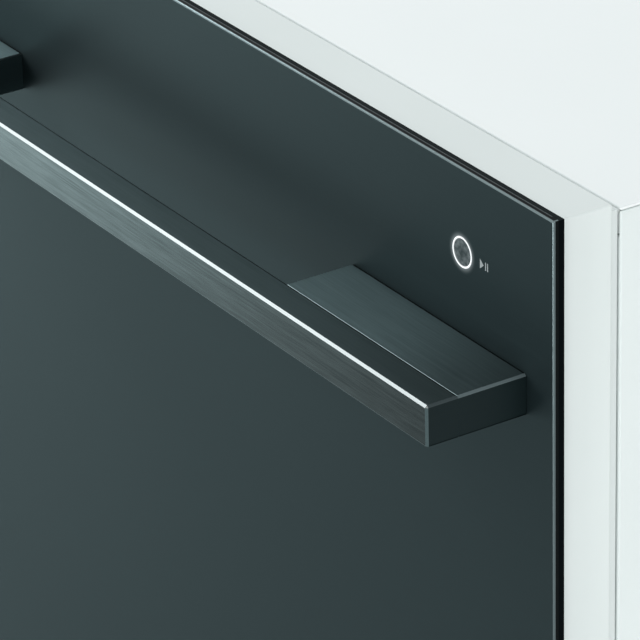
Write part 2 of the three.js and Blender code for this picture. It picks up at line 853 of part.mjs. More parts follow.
function toeKick() {
  return box(
    [-baseHalf, baseHalf],
    [baseFront - toeKickSheet - seat, baseFront - seat],
    [toeKickBottom, baseTop - seat],
  );
}

for (const [word, side] of sides) add(cabinet, `side_panel_${word}`, sidePanel(side), whitePaint);
add(cabinet, "rear_panel", rearPanel(), whitePaint);
add(cabinet, "top_cover", topCover(), whitePaint);
for (const [word, side] of sides) add(cabinet, `worktop_bracket_${word}`, worktopBracket(side), zincSteel);
add(cabinet, "toe_kick", toeKick(), blackPlastic);

// ---------------------------------------------------------------- base frame, feet and wheels
function baseFrame() {
  const shell = cut(
    box([-baseHalf, baseHalf], [baseFront, baseBack], [baseBottom, baseTop]),
    box(
      [-baseHalf + skirtSheet, baseHalf - skirtSheet],
      [baseFront + skirtSheet, baseBack - skirtSheet],
      [baseBottom - 1, baseTop - baseSheet],
    ),
  );
  const pieces = [];
  const holes = [];
  const plateSpan = [baseTop - baseSheet - 1, baseTop + 1];
  const flangeSpan = [baseBottom - 1, baseBottom + baseSheet + 1];
  for (const [, side] of sides) {
    const level = [baseBottom, baseBottom + baseSheet];
    const pinZ = wheelRadius;
    const earOffset = wheelWidth / 2 + wheelSideGap;
    pieces.push(
      box(mirrored(side, baseHalf - baseFlange, baseHalf), [baseFront, baseBack], level),
      box(mirrored(side, footX - footPlate / 2, baseHalf), [baseFront, footY + footPlate / 2], level),
      box(
        mirrored(side, wheelX - earOffset - wheelEar, baseHalf),
        [wheelY - wheelEarLength, baseBack],
        level,
      ),
      rod(
        "x",
        wheelPinRadius,
        mirrored(side, wheelX - earOffset - wheelEar, wheelX + earOffset + wheelEar),
        [wheelY, pinZ],
        16,
      ),
    );
    for (const offset of [-earOffset - wheelEar, earOffset]) {
      pieces.push(
        box(
          mirrored(side, wheelX + offset, wheelX + offset + wheelEar),
          [wheelY - wheelEarLength / 2, wheelY + wheelEarLength / 2],
          [pinZ - wheelPinRadius * 2, baseBottom + 1],
        ),
      );
    }
    holes.push(
      box(
        mirrored(side, wheelX - wheelWidth / 2 - wheelSideGap, wheelX + wheelWidth / 2 + wheelSideGap),
        [wheelY - wheelRadius - wheelTreadGap, wheelY + wheelRadius + wheelTreadGap],
        flangeSpan,
      ),
      rod("z", footStudRadius + seat, flangeSpan, [side * footX, footY], 16),
      rod("z", lowerSleeveRadius + seat, plateSpan, [side * screwOffset, screwY]),
    );
  }
  holes.push(
    rod("z", gearShaftRadius + runClearance, plateSpan, [0, driveY], 16),
    rod("z", motorPilotRadius, plateSpan, [0, motorY], 24),
  );
  return cut(join(shell, ...pieces), ...holes);
}

function baseCover() {
  const level = [baseBottom - seat - coverSheet, baseBottom - seat];
  const ys = [baseFront + coverFrontInset, baseBack - coverRearInset];
  return cut(
    box([-baseHalf + skirtSheet, baseHalf - skirtSheet], ys, level),
    rod("z", gearShaftRadius + runClearance, [level[0] - 1, level[1] + 1], [0, driveY], 16),
  );
}

function levellingFoot() {
  return turned([
    [0, 0],
    [footPadRadius - footPadBevel, 0],
    [footPadRadius, footPadBevel],
    [footPadRadius, footPadHeight - footPadShoulder],
    [footStudRadius * 2, footPadHeight],
    [footStudRadius, footPadHeight],
    [footStudRadius, footStudTop],
    [0, footStudTop],
  ]);
}

function rearWheel() {
  const bore = wheelPinRadius + runClearance;
  const half = wheelWidth / 2;
  return turned(
    [
      [bore, -half],
      [wheelRadius - wheelChamfer, -half],
      [wheelRadius, -half + wheelChamfer],
      [wheelRadius, half - wheelChamfer],
      [wheelRadius - wheelChamfer, half],
      [bore, half],
    ],
    32,
  ).rotateY(Math.PI / 2);
}

add(cabinet, "base_frame", baseFrame(), frameSteel);
add(cabinet, "base_cover", baseCover(), zincSteel);
for (const [word, side] of sides) {
  add(cabinet, `levelling_foot_${word}`, levellingFoot(), rubber).position.set(side * footX, footY, 0);
  add(cabinet, `rear_wheel_${word}`, rearWheel(), rubber).position.set(side * wheelX, wheelY, wheelRadius);
}

// ---------------------------------------------------------------- power screws and their bearings
function powerScrew() {
  const journalBottom = sprocketBottom - seat - endNutHeight / 2;
  return turned([
    [0, journalBottom - endNutHeight],
    [endNutRadius, journalBottom - endNutHeight],
    [endNutRadius, journalBottom],
    [journalRadius, journalBottom],
    [journalRadius, screwBottom],
    [screwRadius, screwBottom],
    [screwRadius, screwTop],
    [journalRadius, screwTop],
    [journalRadius, channelTop],
    [0, channelTop],
  ]);
}

function lowerBearing() {
  const bore = journalRadius + runClearance;
  return turned([
    [bore, baseTop - lowerSleeveLength],
    [lowerSleeveRadius, baseTop - lowerSleeveLength],
    [lowerSleeveRadius, baseTop + seat],
    [bearingFlangeRadius, baseTop + seat],
    [bearingFlangeRadius, baseTop + seat + bearingFlangeHeight],
    [bore, baseTop + seat + bearingFlangeHeight],
  ]);
}

function upperBearing() {
  const bore = journalRadius + runClearance;
  const flangeTop = channelWebBottom - seat;
  return turned([
    [bore, flangeTop - upperFlangeHeight],
    [bearingFlangeRadius, flangeTop - upperFlangeHeight],
    [bearingFlangeRadius, flangeTop],
    [upperSleeveRadius, flangeTop],
    [upperSleeveRadius, channelTop],
    [bore, channelTop],
  ]);
}

function topChannel() {
  const ys = [screwY - beamWidth / 2, screwY + beamWidth / 2];
  const holes = sides.map(([, side]) =>
    rod("z", upperSleeveRadius + seat, [channelWebBottom - 1, channelTop + 1], [side * screwOffset, screwY]),
  );
  return cut(
    box([-baseHalf, baseHalf], ys, [channelBottom, channelTop]),
    box(
      [-baseHalf - 1, baseHalf + 1],
      [ys[0] + channelWall, ys[1] - channelWall],
      [channelBottom - 1, channelWebBottom],
    ),
    ...holes,
  );
}

add(cabinet, "top_channel", topChannel(), frameSteel);
for (const [word, side] of sides) {
  const place = [side * screwOffset, screwY, 0];
  add(cabinet, `power_screw_${word}`, powerScrew(), darkSteel).position.set(...place);
  add(cabinet, `lower_bearing_${word}`, lowerBearing(), bronze).position.set(...place);
  add(cabinet, `upper_bearing_${word}`, upperBearing(), bronze).position.set(...place);
}

// ---------------------------------------------------------------- sprockets, chain, gears and motor
// A sprocket's outline: round seats for the chain's pins between teeth with flattened tips.
function sprocketOutline() {
  const outline = [];
  const tip = sprocketPitchRadius + chainPlateHalf * 0.55;
  const root = sprocketPitchRadius - chainPlateHalf * 0.9;
  for (let tooth = 0; tooth < sprocketTeeth; tooth++) {
    for (const [share, radius] of [[-0.34, root], [-0.12, tip], [0.12, tip], [0.34, root]]) {
      const angle = ((tooth + share) * 2 * Math.PI) / sprocketTeeth;
      outline.push([radius * Math.cos(angle), radius * Math.sin(angle)]);
    }
  }
  return outline;
}

const sprocketPlate = () => slab(sprocketOutline(), [sprocketBottom, sprocketTop]);

function screwSprocket() {
  const hubTop = baseTop - lowerSleeveLength - seat;
  return cut(
    join(sprocketPlate(), rod("z", sprocketHubRadius, [sprocketBottom - sprocketHubFoot, hubTop], [0, 0])),
    rod("z", journalRadius + runClearance, [0, baseTop], [0, 0]),
  );
}

// The chain's centre line round the three sprockets, widened by an offset.
function chainLoop(offset) {
  const centres = [
    [-screwOffset, screwY],
    [screwOffset, screwY],
    [0, driveY],
  ];
  const radius = sprocketPitchRadius + offset;
  const arcSteps = 8;
  const points = [];
  centres.forEach(([x, y], index) => {
    const [px, py] = centres[(index + 2) % 3];
    const [nx, ny] = centres[(index + 1) % 3];
    const from = Math.atan2(y - py, x - px) - Math.PI / 2;
    let to = Math.atan2(ny - y, nx - x) - Math.PI / 2;
    while (to < from) to += 2 * Math.PI;
    for (let step = 0; step <= arcSteps; step++) {
      const angle = from + ((to - from) * step) / arcSteps;
      points.push([x + radius * Math.cos(angle), y + radius * Math.sin(angle)]);
    }
  });
  return { points, arcSteps };
}

function driveChain() {
  const outer = chainLoop(chainPlateHalf).points;
  const inner = chainLoop(-chainPlateHalf).points.reverse();
  const lower = sprocketLevel - chainGap / 2 - chainPlateThickness;
  const upper = sprocketLevel + chainGap / 2;
  const plates = [lower, upper].map((z) => slab(outer, [z, z + chainPlateThickness], [inner]));
  const { points, arcSteps } = chainLoop(0);
  const pins = [];
  for (let run = 0; run < 3; run++) {
    const from = new THREE.Vector2(...points[run * (arcSteps + 1) + arcSteps]);
    const to = new THREE.Vector2(...points[((run + 1) * (arcSteps + 1)) % points.length]);
    const gap = chainPitch * chainPinEvery;
    const count = Math.floor((from.distanceTo(to) - gap) / gap);
    for (let pin = 1; pin <= count; pin++) {
      const place = from.clone().lerp(to, pin / (count + 1));
      pins.push(rod("z", chainPinRadius, [lower, upper + chainPlateThickness], [place.x, place.y], 8));
    }
  }
  return join(...plates, ...pins);
}

// One side of an involute tooth, as [radius, angle] from the tooth's middle line.
function toothFlank(teeth) {
  const pitch = (gearModule * teeth) / 2;
  const base = pitch * Math.cos(pressureAngle);
  const tip = pitch + gearModule * 0.95;
  const start = Math.max(base, pitch - gearModule * 1.1);
  const involute = (radius) => {
    const roll = Math.sqrt(Math.max((radius / base) ** 2 - 1, 0));
    return roll - Math.atan(roll);
  };
  const half = (Math.PI / 2 - backlash / (2 * gearModule)) / teeth;
  const steps = 3;
  const flank = [];
  for (let step = 0; step <= steps; step++) {
    const radius = start + ((tip - start) * step) / steps;
    flank.push([radius, half + involute(pitch) - involute(radius)]);
  }
  return flank;
}

function gearOutline(teeth, firstAngle) {
  const root = (gearModule * teeth) / 2 - gearModule * 1.25;
  const flank = toothFlank(teeth);
  const outline = [];
  const put = (radius, angle) => outline.push([radius * Math.cos(angle), radius * Math.sin(angle)]);
  for (let tooth = 0; tooth < teeth; tooth++) {
    const middle = firstAngle + (tooth * 2 * Math.PI) / teeth;
    put(root, middle - flank[0][1]);
    for (const [radius, angle] of flank) put(radius, middle - angle);
    for (const [radius, angle] of [...flank].reverse()) put(radius, middle + angle);
    put(root, middle + flank[0][1]);
  }
  return outline;
}

// Gear, sprocket and shaft turn as one piece between the base frame and the base cover.
function driveGear() {
  const towardsPinion = Math.PI / 2;
  return join(
    slab(gearOutline(gearTeeth, towardsPinion), [gearBottom, gearTop]),
    sprocketPlate(),
    rod("z", sprocketHubRadius, [sprocketBottom - sprocketHubFoot, gearTop + gearHubRise], [0, 0]),
    rod("z", gearShaftRadius, [baseBottom - seat - coverSheet, baseTop - seat], [0, 0], 16),
  );
}

function motorPinion() {
  const gapTowardsGear = -Math.PI / 2 + Math.PI / pinionTeeth;
  const faces = [gearBottom - pinionOverhang, gearTop + pinionOverhang];
  const shaft = [gearBottom - pinionShaftFoot, baseTop + motorHeight + motorNeckHeight];
  return join(
    slab(gearOutline(pinionTeeth, gapTowardsGear), faces),
    rod("z", motorShaftRadius, shaft, [0, 0], 16),
  );
}

function driveMotor() {
  const bore = motorShaftRadius + runClearance;
  const foot = baseTop + seat;
  const shoulder = foot + motorHeight;
  const neck = shoulder + motorNeckHeight - motorShaftProud;
  return turned(
    [
      [bore, foot],
      [motorFlangeRadius, foot],
      [motorFlangeRadius, foot + motorFlangeHeight],
      [motorRadius, foot + motorFlangeHeight],
      [motorRadius, shoulder - motorShoulder],
      [motorRadius - motorShoulder, shoulder],
      [motorNeckRadius, shoulder],
      [motorNeckRadius, neck],
      [bore, neck],
    ],
    32,
  );
}

for (const [word, side] of sides) {
  const sprocket = add(cabinet, `screw_sprocket_${word}`, screwSprocket(), darkSteel);
  sprocket.position.set(side * screwOffset, screwY, 0);
}
add(cabinet, "drive_chain", driveChain(), darkSteel);
add(cabinet, "drive_gear", driveGear(), darkSteel).position.set(0, driveY, 0);
add(cabinet, "motor_pinion", motorPinion(), darkSteel).position.set(0, motorY, 0);
add(cabinet, "drive_motor", driveMotor(), zincSteel).position.set(0, motorY, 0);

// ---------------------------------------------------------------- ram
function ramPlate() {
  return cut(
    box([-ramHalf, ramHalf], [ramFront, ramBack], [ramBottom, ramBottom + ramPlateHeight]),
    box(
      [-ramHalf + ramPlateWall, ramHalf - ramPlateWall],
      [ramFront + ramPlateWall, ramBack - ramPlateWall],
      [ramBottom + ramPlateWall, ramBottom + ramPlateHeight + 1],
    ),
  );
}

function ramBox() {
  const half = ramHalf - ramBoxInset;
  const [y0, y1] = [ramFront + ramBoxInset, ramBack - ramBoxInset];
  const level = [ramBottom + ramPlateWall + seat, beamBottom - seat];
  return cut(
    box([-half, half], [y0, y1], level),
    box(
      [-half + ramBoxWall, half - ramBoxWall],
      [y0 + ramBoxWall, y1 - ramBoxWall],
      [level[0] - 1, level[1] + 1],
    ),
  );
}

function ramBeam() {
  const ys = [screwY - beamWidth / 2, screwY + beamWidth / 2];
  return cut(
    box([-beamHalf, beamHalf], ys, [beamBottom, beamTop]),
    box(
      [-beamHalf - 1, beamHalf + 1],
      [ys[0] + beamWall, ys[1] - beamWall],
      [beamBottom - 1, beamTop - beamWall],
    ),
    ...sides.map(([, side]) =>
      rod("z", nutRadius + seat, [beamTop - beamWall - 1, beamTop + 1], [side * screwOffset, screwY]),
    ),
  );
}

function powerNut() {
  const bore = screwRadius + runClearance;
  const flangeBottom = beamTop + seat;
  return turned([
    [bore, flangeBottom + nutFlangeHeight - nutLength],
    [nutRadius, flangeBottom + nutFlangeHeight - nutLength],
    [nutRadius, flangeBottom],
    [nutFlangeRadius, flangeBottom],
    [nutFlangeRadius, flangeBottom + nutFlangeHeight],
    [bore, flangeBottom + nutFlangeHeight],
  ]);
}

add(ram, "ram_plate", ramPlate(), zincSteel);
add(ram, "ram_box", ramBox(), frameSteel);
add(ram, "ram_beam", ramBeam(), frameSteel);
for (const [word, side] of sides) {
  add(ram, `power_nut_${word}`, powerNut(), bronze).position.set(side * screwOffset, screwY, 0);
}

// ---------------------------------------------------------------- switches
function topLimitSwitch() {
  const level = [channelWebBottom - seat - topSwitchHeight, channelWebBottom - seat];
  return join(
    box(
      [topSwitchPlace - topSwitchWidth / 2, topSwitchPlace + topSwitchWidth / 2],
      [screwY - topSwitchDepth / 2, screwY + topSwitchDepth / 2],
      level,
    ),
    rod("z", plungerRadius, [beamTop + switchGap, level[0] + 1], [topSwitchPlace, screwY], 12),
  );
}

function drawerSwitch() {
  const front = frameFloorBack + switchGap + plungerLength;
  const foot = baseTop + seat;
  const half = drawerSwitchWidth / 2;
  const plungerZ = frameFloor + frameSheet / 2;
  return join(
    box(
      [drawerSwitchX - half, drawerSwitchX + half],
      [front, front + drawerSwitchDepth],
      [foot, foot + drawerSwitchHeight],
    ),
    rod("y", plungerRadius, [front - plungerLength, front + 1], [drawerSwitchX, plungerZ], 12),
  );
}

add(cabinet, "top_limit_switch", topLimitSwitch(), blackPlastic);
add(cabinet, "drawer_switch", drawerSwitch(), blackPlastic);

// ---------------------------------------------------------------- odour fan, filter and cord gland
const fanBack = rearInner - seat;
const fanFront = fanBack - fanHousingDepth;

function fanHousing() {
  const half = fanHousingSide / 2;
  const strut = [-fanStrutWidth / 2, fanStrutWidth / 2];
  const strutDepth = [fanBack - fanStrutDepth, fanBack];
  const hubFront = fanBack - fanHubDepth;
  const duct = cut(
    box([-half, half], [fanFront, fanBack], [-half, half]),
    rod("y", fanDuctRadius, [fanFront - 1, fanBack + 1], [0, 0], 32),
  );
  return join(
    duct,
    box([-half + 1, half - 1], strutDepth, strut),
    box(strut, strutDepth, [-half + 1, half - 1]),
    rod("y", fanHubRadius, [hubFront, fanBack], [0, 0]),
    rod("y", fanAxleRadius, [fanFront + fanAxleInset, hubFront + 1], [0, 0], 12),
  );
}

function odourFan() {
  const tip = fanDuctRadius - fanTipGap;
  const [front, back] = [fanFront + fanFrontGap, fanBack - fanHubDepth - seat];
  const blades = [];
  for (let blade = 0; blade < fanBlades; blade++) {
    const vane = box(
      [fanHubRadius / 2, tip],
      [-fanBladeThickness / 2, fanBladeThickness / 2],
      [-(back - front) / 2, (back - front) / 2],
    );
    vane.rotateX(fanBladeTilt);
    vane.translate(0, (front + back) / 2, 0);
    vane.rotateY((blade * 2 * Math.PI) / fanBlades);
    blades.push(vane);
  }
  return cut(
    join(rod("y", fanHubRadius, [front, back], [0, 0]), ...blades),
    rod("y", fanAxleRadius + runClearance, [front - 1, back + 1], [0, 0], 12),
  );
}

function charcoalFilter() {
  const half = filterSide / 2;
  const back = fanFront - seat;
  const front = back - filterDepth;
  const slots = [];
  for (let slot = 0; slot < filterSlots; slot++) {
    const z = -half + ((slot + 0.5) * filterSide) / filterSlots;
    slots.push(
      box(
        [-half + filterBorder, half - filterBorder],
        [front - 1, front + filterSlotDepth],
        [z - filterSlotHeight / 2, z + filterSlotHeight / 2],
      ),
    );
  }
  return cut(box([-half, half], [front, back], [-half, half]), ...slots);
}

add(cabinet, "fan_housing", fanHousing(), blackPlastic).position.set(fanX, 0, fanHeight);
add(cabinet, "odour_fan", odourFan(), greyPlastic).position.set(fanX, 0, fanHeight);
add(cabinet, "charcoal_filter", charcoalFilter(), charcoal).position.set(fanX, 0, fanHeight);

const cordGland = cut(
  join(
    rod("y", glandSleeveRadius, [unitDepth - glandSleeveLength, unitDepth + seat + 1], [0, 0]),
    rod("y", glandFlangeRadius, [unitDepth + seat, unitDepth + seat + glandFlangeHeight], [0, 0]),
  ),
  rod("y", glandBore, [0, unitDepth * 2], [0, 0], 16),
);
add(cabinet, "cord_gland", cordGland, blackPlastic).position.set(glandX, 0, glandHeight);

// ---------------------------------------------------------------- origin on the floor, mid footprint
const foremost = -handleGap - barDepth;
const rearmost = unitDepth + seat + glandFlangeHeight;
modelling.position.y = -(foremost + rearmost) / 2;

const compactor = new THREE.Group();
compactor.add(modelling);
export default compactor;
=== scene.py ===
import json
import math

import bmesh
import bpy
from mathutils import Matrix, Vector


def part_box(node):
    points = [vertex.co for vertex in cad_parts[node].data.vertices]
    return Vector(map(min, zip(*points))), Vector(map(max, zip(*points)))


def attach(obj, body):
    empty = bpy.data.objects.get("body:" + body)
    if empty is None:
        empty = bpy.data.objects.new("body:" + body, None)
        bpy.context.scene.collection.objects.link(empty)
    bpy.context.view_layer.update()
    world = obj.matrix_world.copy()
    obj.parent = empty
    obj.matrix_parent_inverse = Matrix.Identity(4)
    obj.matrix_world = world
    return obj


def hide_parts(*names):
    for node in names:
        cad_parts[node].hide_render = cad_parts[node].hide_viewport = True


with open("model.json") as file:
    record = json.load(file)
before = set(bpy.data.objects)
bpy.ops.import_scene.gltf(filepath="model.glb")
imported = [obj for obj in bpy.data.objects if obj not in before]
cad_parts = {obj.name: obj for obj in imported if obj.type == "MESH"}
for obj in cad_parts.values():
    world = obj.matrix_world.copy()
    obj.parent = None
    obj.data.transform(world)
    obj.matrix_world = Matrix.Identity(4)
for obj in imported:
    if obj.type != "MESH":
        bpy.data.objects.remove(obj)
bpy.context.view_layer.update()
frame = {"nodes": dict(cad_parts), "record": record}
nodes = frame["nodes"]
scene = bpy.context.scene
scene.view_settings.view_transform = "Standard"

# ------------------------------------------------------------------ camera
# A long lens looks down on the right-hand end of the handle and the start button from the right.
# Its place is measured from the front's upper right corner.
away_from_corner = (1.03509, -0.74691, 0.60047)
yaw, pitch, roll = 1.002966, 0.460562, -0.025985
skin_low, skin_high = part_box("front_skin")
corner = Vector((skin_high.x, skin_low.y, skin_high.z))
lens_right = Vector((math.cos(yaw), math.sin(yaw), 0))
level_ahead = Vector((-math.sin(yaw), math.cos(yaw), 0))
ahead = level_ahead * math.cos(pitch) - Vector((0, 0, math.sin(pitch)))
upward = level_ahead * math.sin(pitch) + Vector((0, 0, math.cos(pitch)))
turned_right = lens_right * math.cos(roll) + upward * math.sin(roll)
turned_up = upward * math.cos(roll) - lens_right * math.sin(roll)

camera = bpy.data.objects.new("camera", bpy.data.cameras.new("camera"))
scene.collection.objects.link(camera)
scene.camera = camera
camera.data.sensor_width = 36
camera.data.lens = 255.73
camera.data.clip_start = 0.05
camera.data.clip_end = 200
turn = Matrix((turned_right, turned_up, -ahead)).transposed()
camera.matrix_world = Matrix.Translation(corner + Vector(away_from_corner)) @ turn.to_4x4()

# ------------------------------------------------------------------ floor and light
# A pale floor, with a painted glow that grows with distance from the object, and a white surround, which
# metal shows as the camera does, and soft panels of light: two high on the left and a weaker one low there,
# a wide fill from the right and behind, and two small ones before the handle.


def graph(name):
    """A new material, its node tree and its output's input, for a finish to be built in."""
    material = bpy.data.materials.new(name)
    material.use_nodes = True
    tree = material.node_tree
    tree.nodes.clear()
    output = tree.nodes.new("ShaderNodeOutputMaterial").inputs["Surface"]
    return material, tree, output


def feed(socket, value):
    """Gives an input a plain value, or links to it an output or a node's first output."""
    if isinstance(value, bpy.types.Node):
        value = value.outputs[0]
    if isinstance(value, bpy.types.NodeSocket):
        socket.id_data.links.new(value, socket)
    else:
        socket.default_value = value


def add_node(tree, kind, *inputs, **values):
    """One node with its settings, its inputs fed in order or by name (an underscore for a space)."""
    node = tree.nodes.new("ShaderNode" + kind)
    for key, value in values.items():
        if hasattr(node, key) and key not in node.inputs:
            setattr(node, key, value)
        else:
            feed(node.inputs[key.replace("_", " ")], value)
    for socket, value in zip(node.inputs, inputs):
        feed(socket, value)
    return node


def seen_directly(tree):
    """A factor that is 1 for what the camera sees, straight or by way of metal or glass."""
    path = add_node(tree, "LightPath").outputs
    mirror = add_node(
        tree, "Math", path["Is Glossy Ray"], path["Is Transmission Ray"], operation="MAXIMUM",
    )
    return add_node(tree, "Math", path["Is Camera Ray"], mirror, operation="MAXIMUM")


def object_place(tree):
    """Places on an object in its own axes."""
    return add_node(tree, "TexCoord").outputs["Object"]


def smooth_change(tree, value, start, end, first, last):
    """A value that changes smoothly from a first to a last while another goes from a start to an end."""
    return add_node(tree, "MapRange", value, start, end, first, last, interpolation_type="SMOOTHSTEP")


floor_reach = 60
floor_mesh = bmesh.new()
bmesh.ops.create_grid(floor_mesh, x_segments=1, y_segments=1, size=floor_reach)
floor_data = bpy.data.meshes.new("floor")
floor_mesh.to_mesh(floor_data)
floor_mesh.free()
floor = bpy.data.objects.new("floor", floor_data)
scene.collection.objects.link(floor)

floor_paint, tree, output = graph("floor_paint")
matt = add_node(tree, "BsdfDiffuse", Color=(0.78, 0.79, 0.79, 1))
# Painted glow: the floor, as the camera sees it, brightens with its distance from the object.
spread = add_node(tree, "VectorMath", object_place(tree), operation="LENGTH").outputs["Value"]
painted_floor_glow = smooth_change(tree, spread, 0.8, 4.5, 0.25, 0.56)
glow = add_node(tree, "Emission", Color=(1, 1, 1, 1), Strength=painted_floor_glow)
both = add_node(tree, "AddShader", matt, glow)
feed(output, add_node(tree, "MixShader", seen_directly(tree), matt, both))
floor_data.materials.append(floor_paint)

world = bpy.data.worlds.new("surround")
scene.world = world
world.use_nodes = True
tree = world.node_tree
tree.nodes.clear()
output = tree.nodes.new("ShaderNodeOutputWorld").inputs["Surface"]
shown = add_node(tree, "Background", Color=(1, 1, 1, 1), Strength=1.0)
lighting = add_node(tree, "Background", Color=(0.95, 0.99, 1, 1), Strength=0.7)
feed(output, add_node(tree, "MixShader", seen_directly(tree), lighting, shown))


def light_panel(name, offset, aim, width, height, power, colour=(1, 1, 1)):
    """A soft rectangular lamp placed and aimed from the front's upper right corner."""
    lamp = bpy.data.lights.new(name, "AREA")
    lamp.shape = "RECTANGLE"
    lamp.size = width
    lamp.size_y = height
    lamp.energy = power
    lamp.color = colour
    holder = bpy.data.objects.new(name, lamp)
    scene.collection.objects.link(holder)
    holder.location = corner + Vector(offset)
    holder.rotation_euler = (Vector(aim) - Vector(offset)).to_track_quat("-Z", "Y").to_euler()
    holder.visible_camera = False
    return holder


light_panel("window_left", (-2.6, -1.25, 1.35), (-0.15, 0, 0), 1.1, 0.9, 8.85, (0.95, 0.975, 0.995))
light_panel("above_left", (-1.85, -0.2, 0.9), (-0.2, 0, -0.05), 0.6, 0.8, 11.75, (0.95, 0.975, 0.995))
light_panel("low_left", (-1.75, -0.75, -0.62), (-0.25, 0, -0.08), 0.7, 0.4, 4.8, (0.88, 0.98, 0.99))
light_panel("right_fill", (2.4, 0.2, 0.9), (0, 0.2, -0.3), 1.8, 1.8, 24)
light_panel("right_edge", (0.5, -0.7, -0.12), (0, 0, -0.03), 0.35, 0.25, 0.45)
light_panel("front_fill", (0.05, -0.85, -0.1), (0, 0, -0.06), 0.3, 0.3, 6)

# ------------------------------------------------------------------ front skin
# A pan of black-coated stainless steel, brushed from side to side. Its front edges are folded over a small
# radius, where the coating is thin and the steel shines through. That bright band is partly bare steel and
# partly a painted highlight, brighter on the top and bottom than on the sides, and the flat folds are darker
# copies of the coated steel as painted shade.


def placed(name, mesh, body, *finishes):
    """Turns a bmesh into an object that moves with a body, with its materials in order."""
    data = bpy.data.meshes.new(name)
    mesh.to_mesh(data)
    mesh.free()
    for material in finishes:
        data.materials.append(material)
    piece = bpy.data.objects.new(name, data)
    scene.collection.objects.link(piece)
    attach(piece, body)
    return piece


def stands_for(node):
    """Hides the solid that a piece stands for."""
    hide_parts(node)


def bevelled(mesh, edges, size, segments=1, finish=-1, **more):
    """Rounds some edges of a bmesh, or cuts them off flat in one segment."""
    bmesh.ops.bevel(
        mesh, geom=edges, offset=size, segments=segments, profile=0.5, affect="EDGES", material=finish,
        **more,
    )


def move_by(mesh, offset, verts=None):
    """Moves a bmesh, or some of its vertices."""
    bmesh.ops.translate(mesh, vec=offset, verts=verts or mesh.verts)


def turn_by(mesh, angle, axis, verts=None):
    """Turns a bmesh, or some of its vertices, about an axis through the origin."""
    bmesh.ops.rotate(mesh, matrix=Matrix.Rotation(angle, 3, axis), verts=verts or mesh.verts)


def block(mesh, low, high, edge=0.0, segments=2):
    """Adds a box between two corners to a bmesh, with its edges rounded where a radius is given."""
    low, high = Vector(low), Vector(high)
    corners = bmesh.ops.create_cube(mesh, size=1)["verts"]
    bmesh.ops.scale(mesh, vec=high - low, verts=corners)
    move_by(mesh, (low + high) / 2, corners)
    if edge:
        edges = list({e for vert in corners for e in vert.link_edges})
        bevelled(mesh, edges, edge, segments, clamp_overlap=True)


def noise(tree, place, scale, detail=2.0, roughness=0.5):
    """Noise on Object coordinates, stretched by one scale or by one for each axis."""
    scales = scale if isinstance(scale, (tuple, list)) else [scale] * 3
    stretch = add_node(tree, "Mapping", place, Scale=scales)
    return add_node(tree, "TexNoise", stretch, Scale=1.0, Detail=detail, Roughness=roughness)


def ranged(tree, value, low, high):
    """Spreads the middle of a noise over a range of values."""
    return add_node(tree, "MapRange", value, 0.3, 0.7, low, high)


def coloured(tree, value, dark, light):
    """Spreads the middle of a noise over two colours."""
    tone = add_node(tree, "ValToRGB", value)
    for stop, place, colour in zip(tone.color_ramp.elements, (0.3, 0.7), (dark, light)):
        stop.position = place
        stop.color = (*colour, 1)
    return tone


def mixed(tree, first, second, share):
    """Two values in one, with a share of the second."""
    return add_node(tree, "Mix", data_type="FLOAT", Factor=share, A=first, B=second)


def raised(tree, surface, height, strength, distance, invert=False):
    """Gives a surface a fine relief from a height."""
    bump = add_node(tree, "Bump", Strength=strength, Distance=distance, Height=height, invert=invert)
    feed(surface.inputs["Normal"], bump)


unit = {"X": (1, 0, 0), "Y": (0, 1, 0), "Z": (0, 0, 1)}


def brushed(
    name, dark, light, roughness, along="X", edge_tint=0.8, anisotropic=0.85, depth=0.03, metallic=1.0,
    pitch=3800,
):
    """Steel with fine brush lines along one axis: streaks in its tone, gloss and relief."""
    material, tree, output = graph(name)
    place = object_place(tree)
    fine = [70 if axis == along else pitch for axis in "XYZ"]
    long = [9 if axis == along else pitch * 0.5 for axis in "XYZ"]
    brushing = mixed(tree, noise(tree, place, fine), noise(tree, place, long, 3.0, 0.6), 0.5)
    worn = ranged(tree, noise(tree, place, 3), -0.015, 0.015)
    streaked = ranged(tree, brushing, roughness - 0.015, roughness + 0.015)
    surface = add_node(
        tree, "BsdfPrincipled", Metallic=metallic, Anisotropic=anisotropic, Specular_IOR_Level=0.1,
        Specular_Tint=(edge_tint, edge_tint, edge_tint, 1), Base_Color=coloured(tree, brushing, dark, light),
        Roughness=add_node(tree, "Math", worn, streaked, operation="ADD"),
    )
    raised(tree, surface, brushing, depth, 0.0002)
    if anisotropic:
        normal = add_node(tree, "NewGeometry").outputs["Normal"]
        across = add_node(tree, "VectorMath", normal, unit[along], operation="CROSS_PRODUCT")
        feed(surface.inputs["Tangent"], across)
    feed(output, surface)
    return material


ring_low, ring_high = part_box("light_ring")
ring_centre = (ring_low + ring_high) / 2
ring_outer = (ring_high.x - ring_low.x) / 2
ring_inner = ring_outer - 0.0009
ring_middle = (ring_outer + ring_inner) / 2
coated_tones = (0.0093, 0.016, 0.0176), (0.0122, 0.0204, 0.0221)
coated_steel = brushed("coated_steel", *coated_tones, 0.5, edge_tint=0.7, metallic=0.45)
folded_steel = brushed("folded_steel", (0.0052, 0.007, 0.0078), (0.008, 0.0105, 0.0114), 0.36, edge_tint=0.6)
side_steel = brushed("side_steel", (0.0043, 0.0056, 0.0061), (0.0059, 0.0076, 0.0082), 0.36, anisotropic=0.0)
edge_steel = brushed(
    "edge_steel", (0.094, 0.122, 0.127), (0.105, 0.134, 0.139), 0.3, anisotropic=0.0, depth=0.0,
)
upper_edge_painted_highlight = brushed(
    "upper_edge_painted_highlight", (0.144, 0.186, 0.193), (0.16, 0.204, 0.211), 0.3, anisotropic=0.0, depth=0.0,
)
cut_steel = brushed("cut_steel", (0.045, 0.058, 0.061), (0.065, 0.08, 0.083), 0.4, anisotropic=0.0)


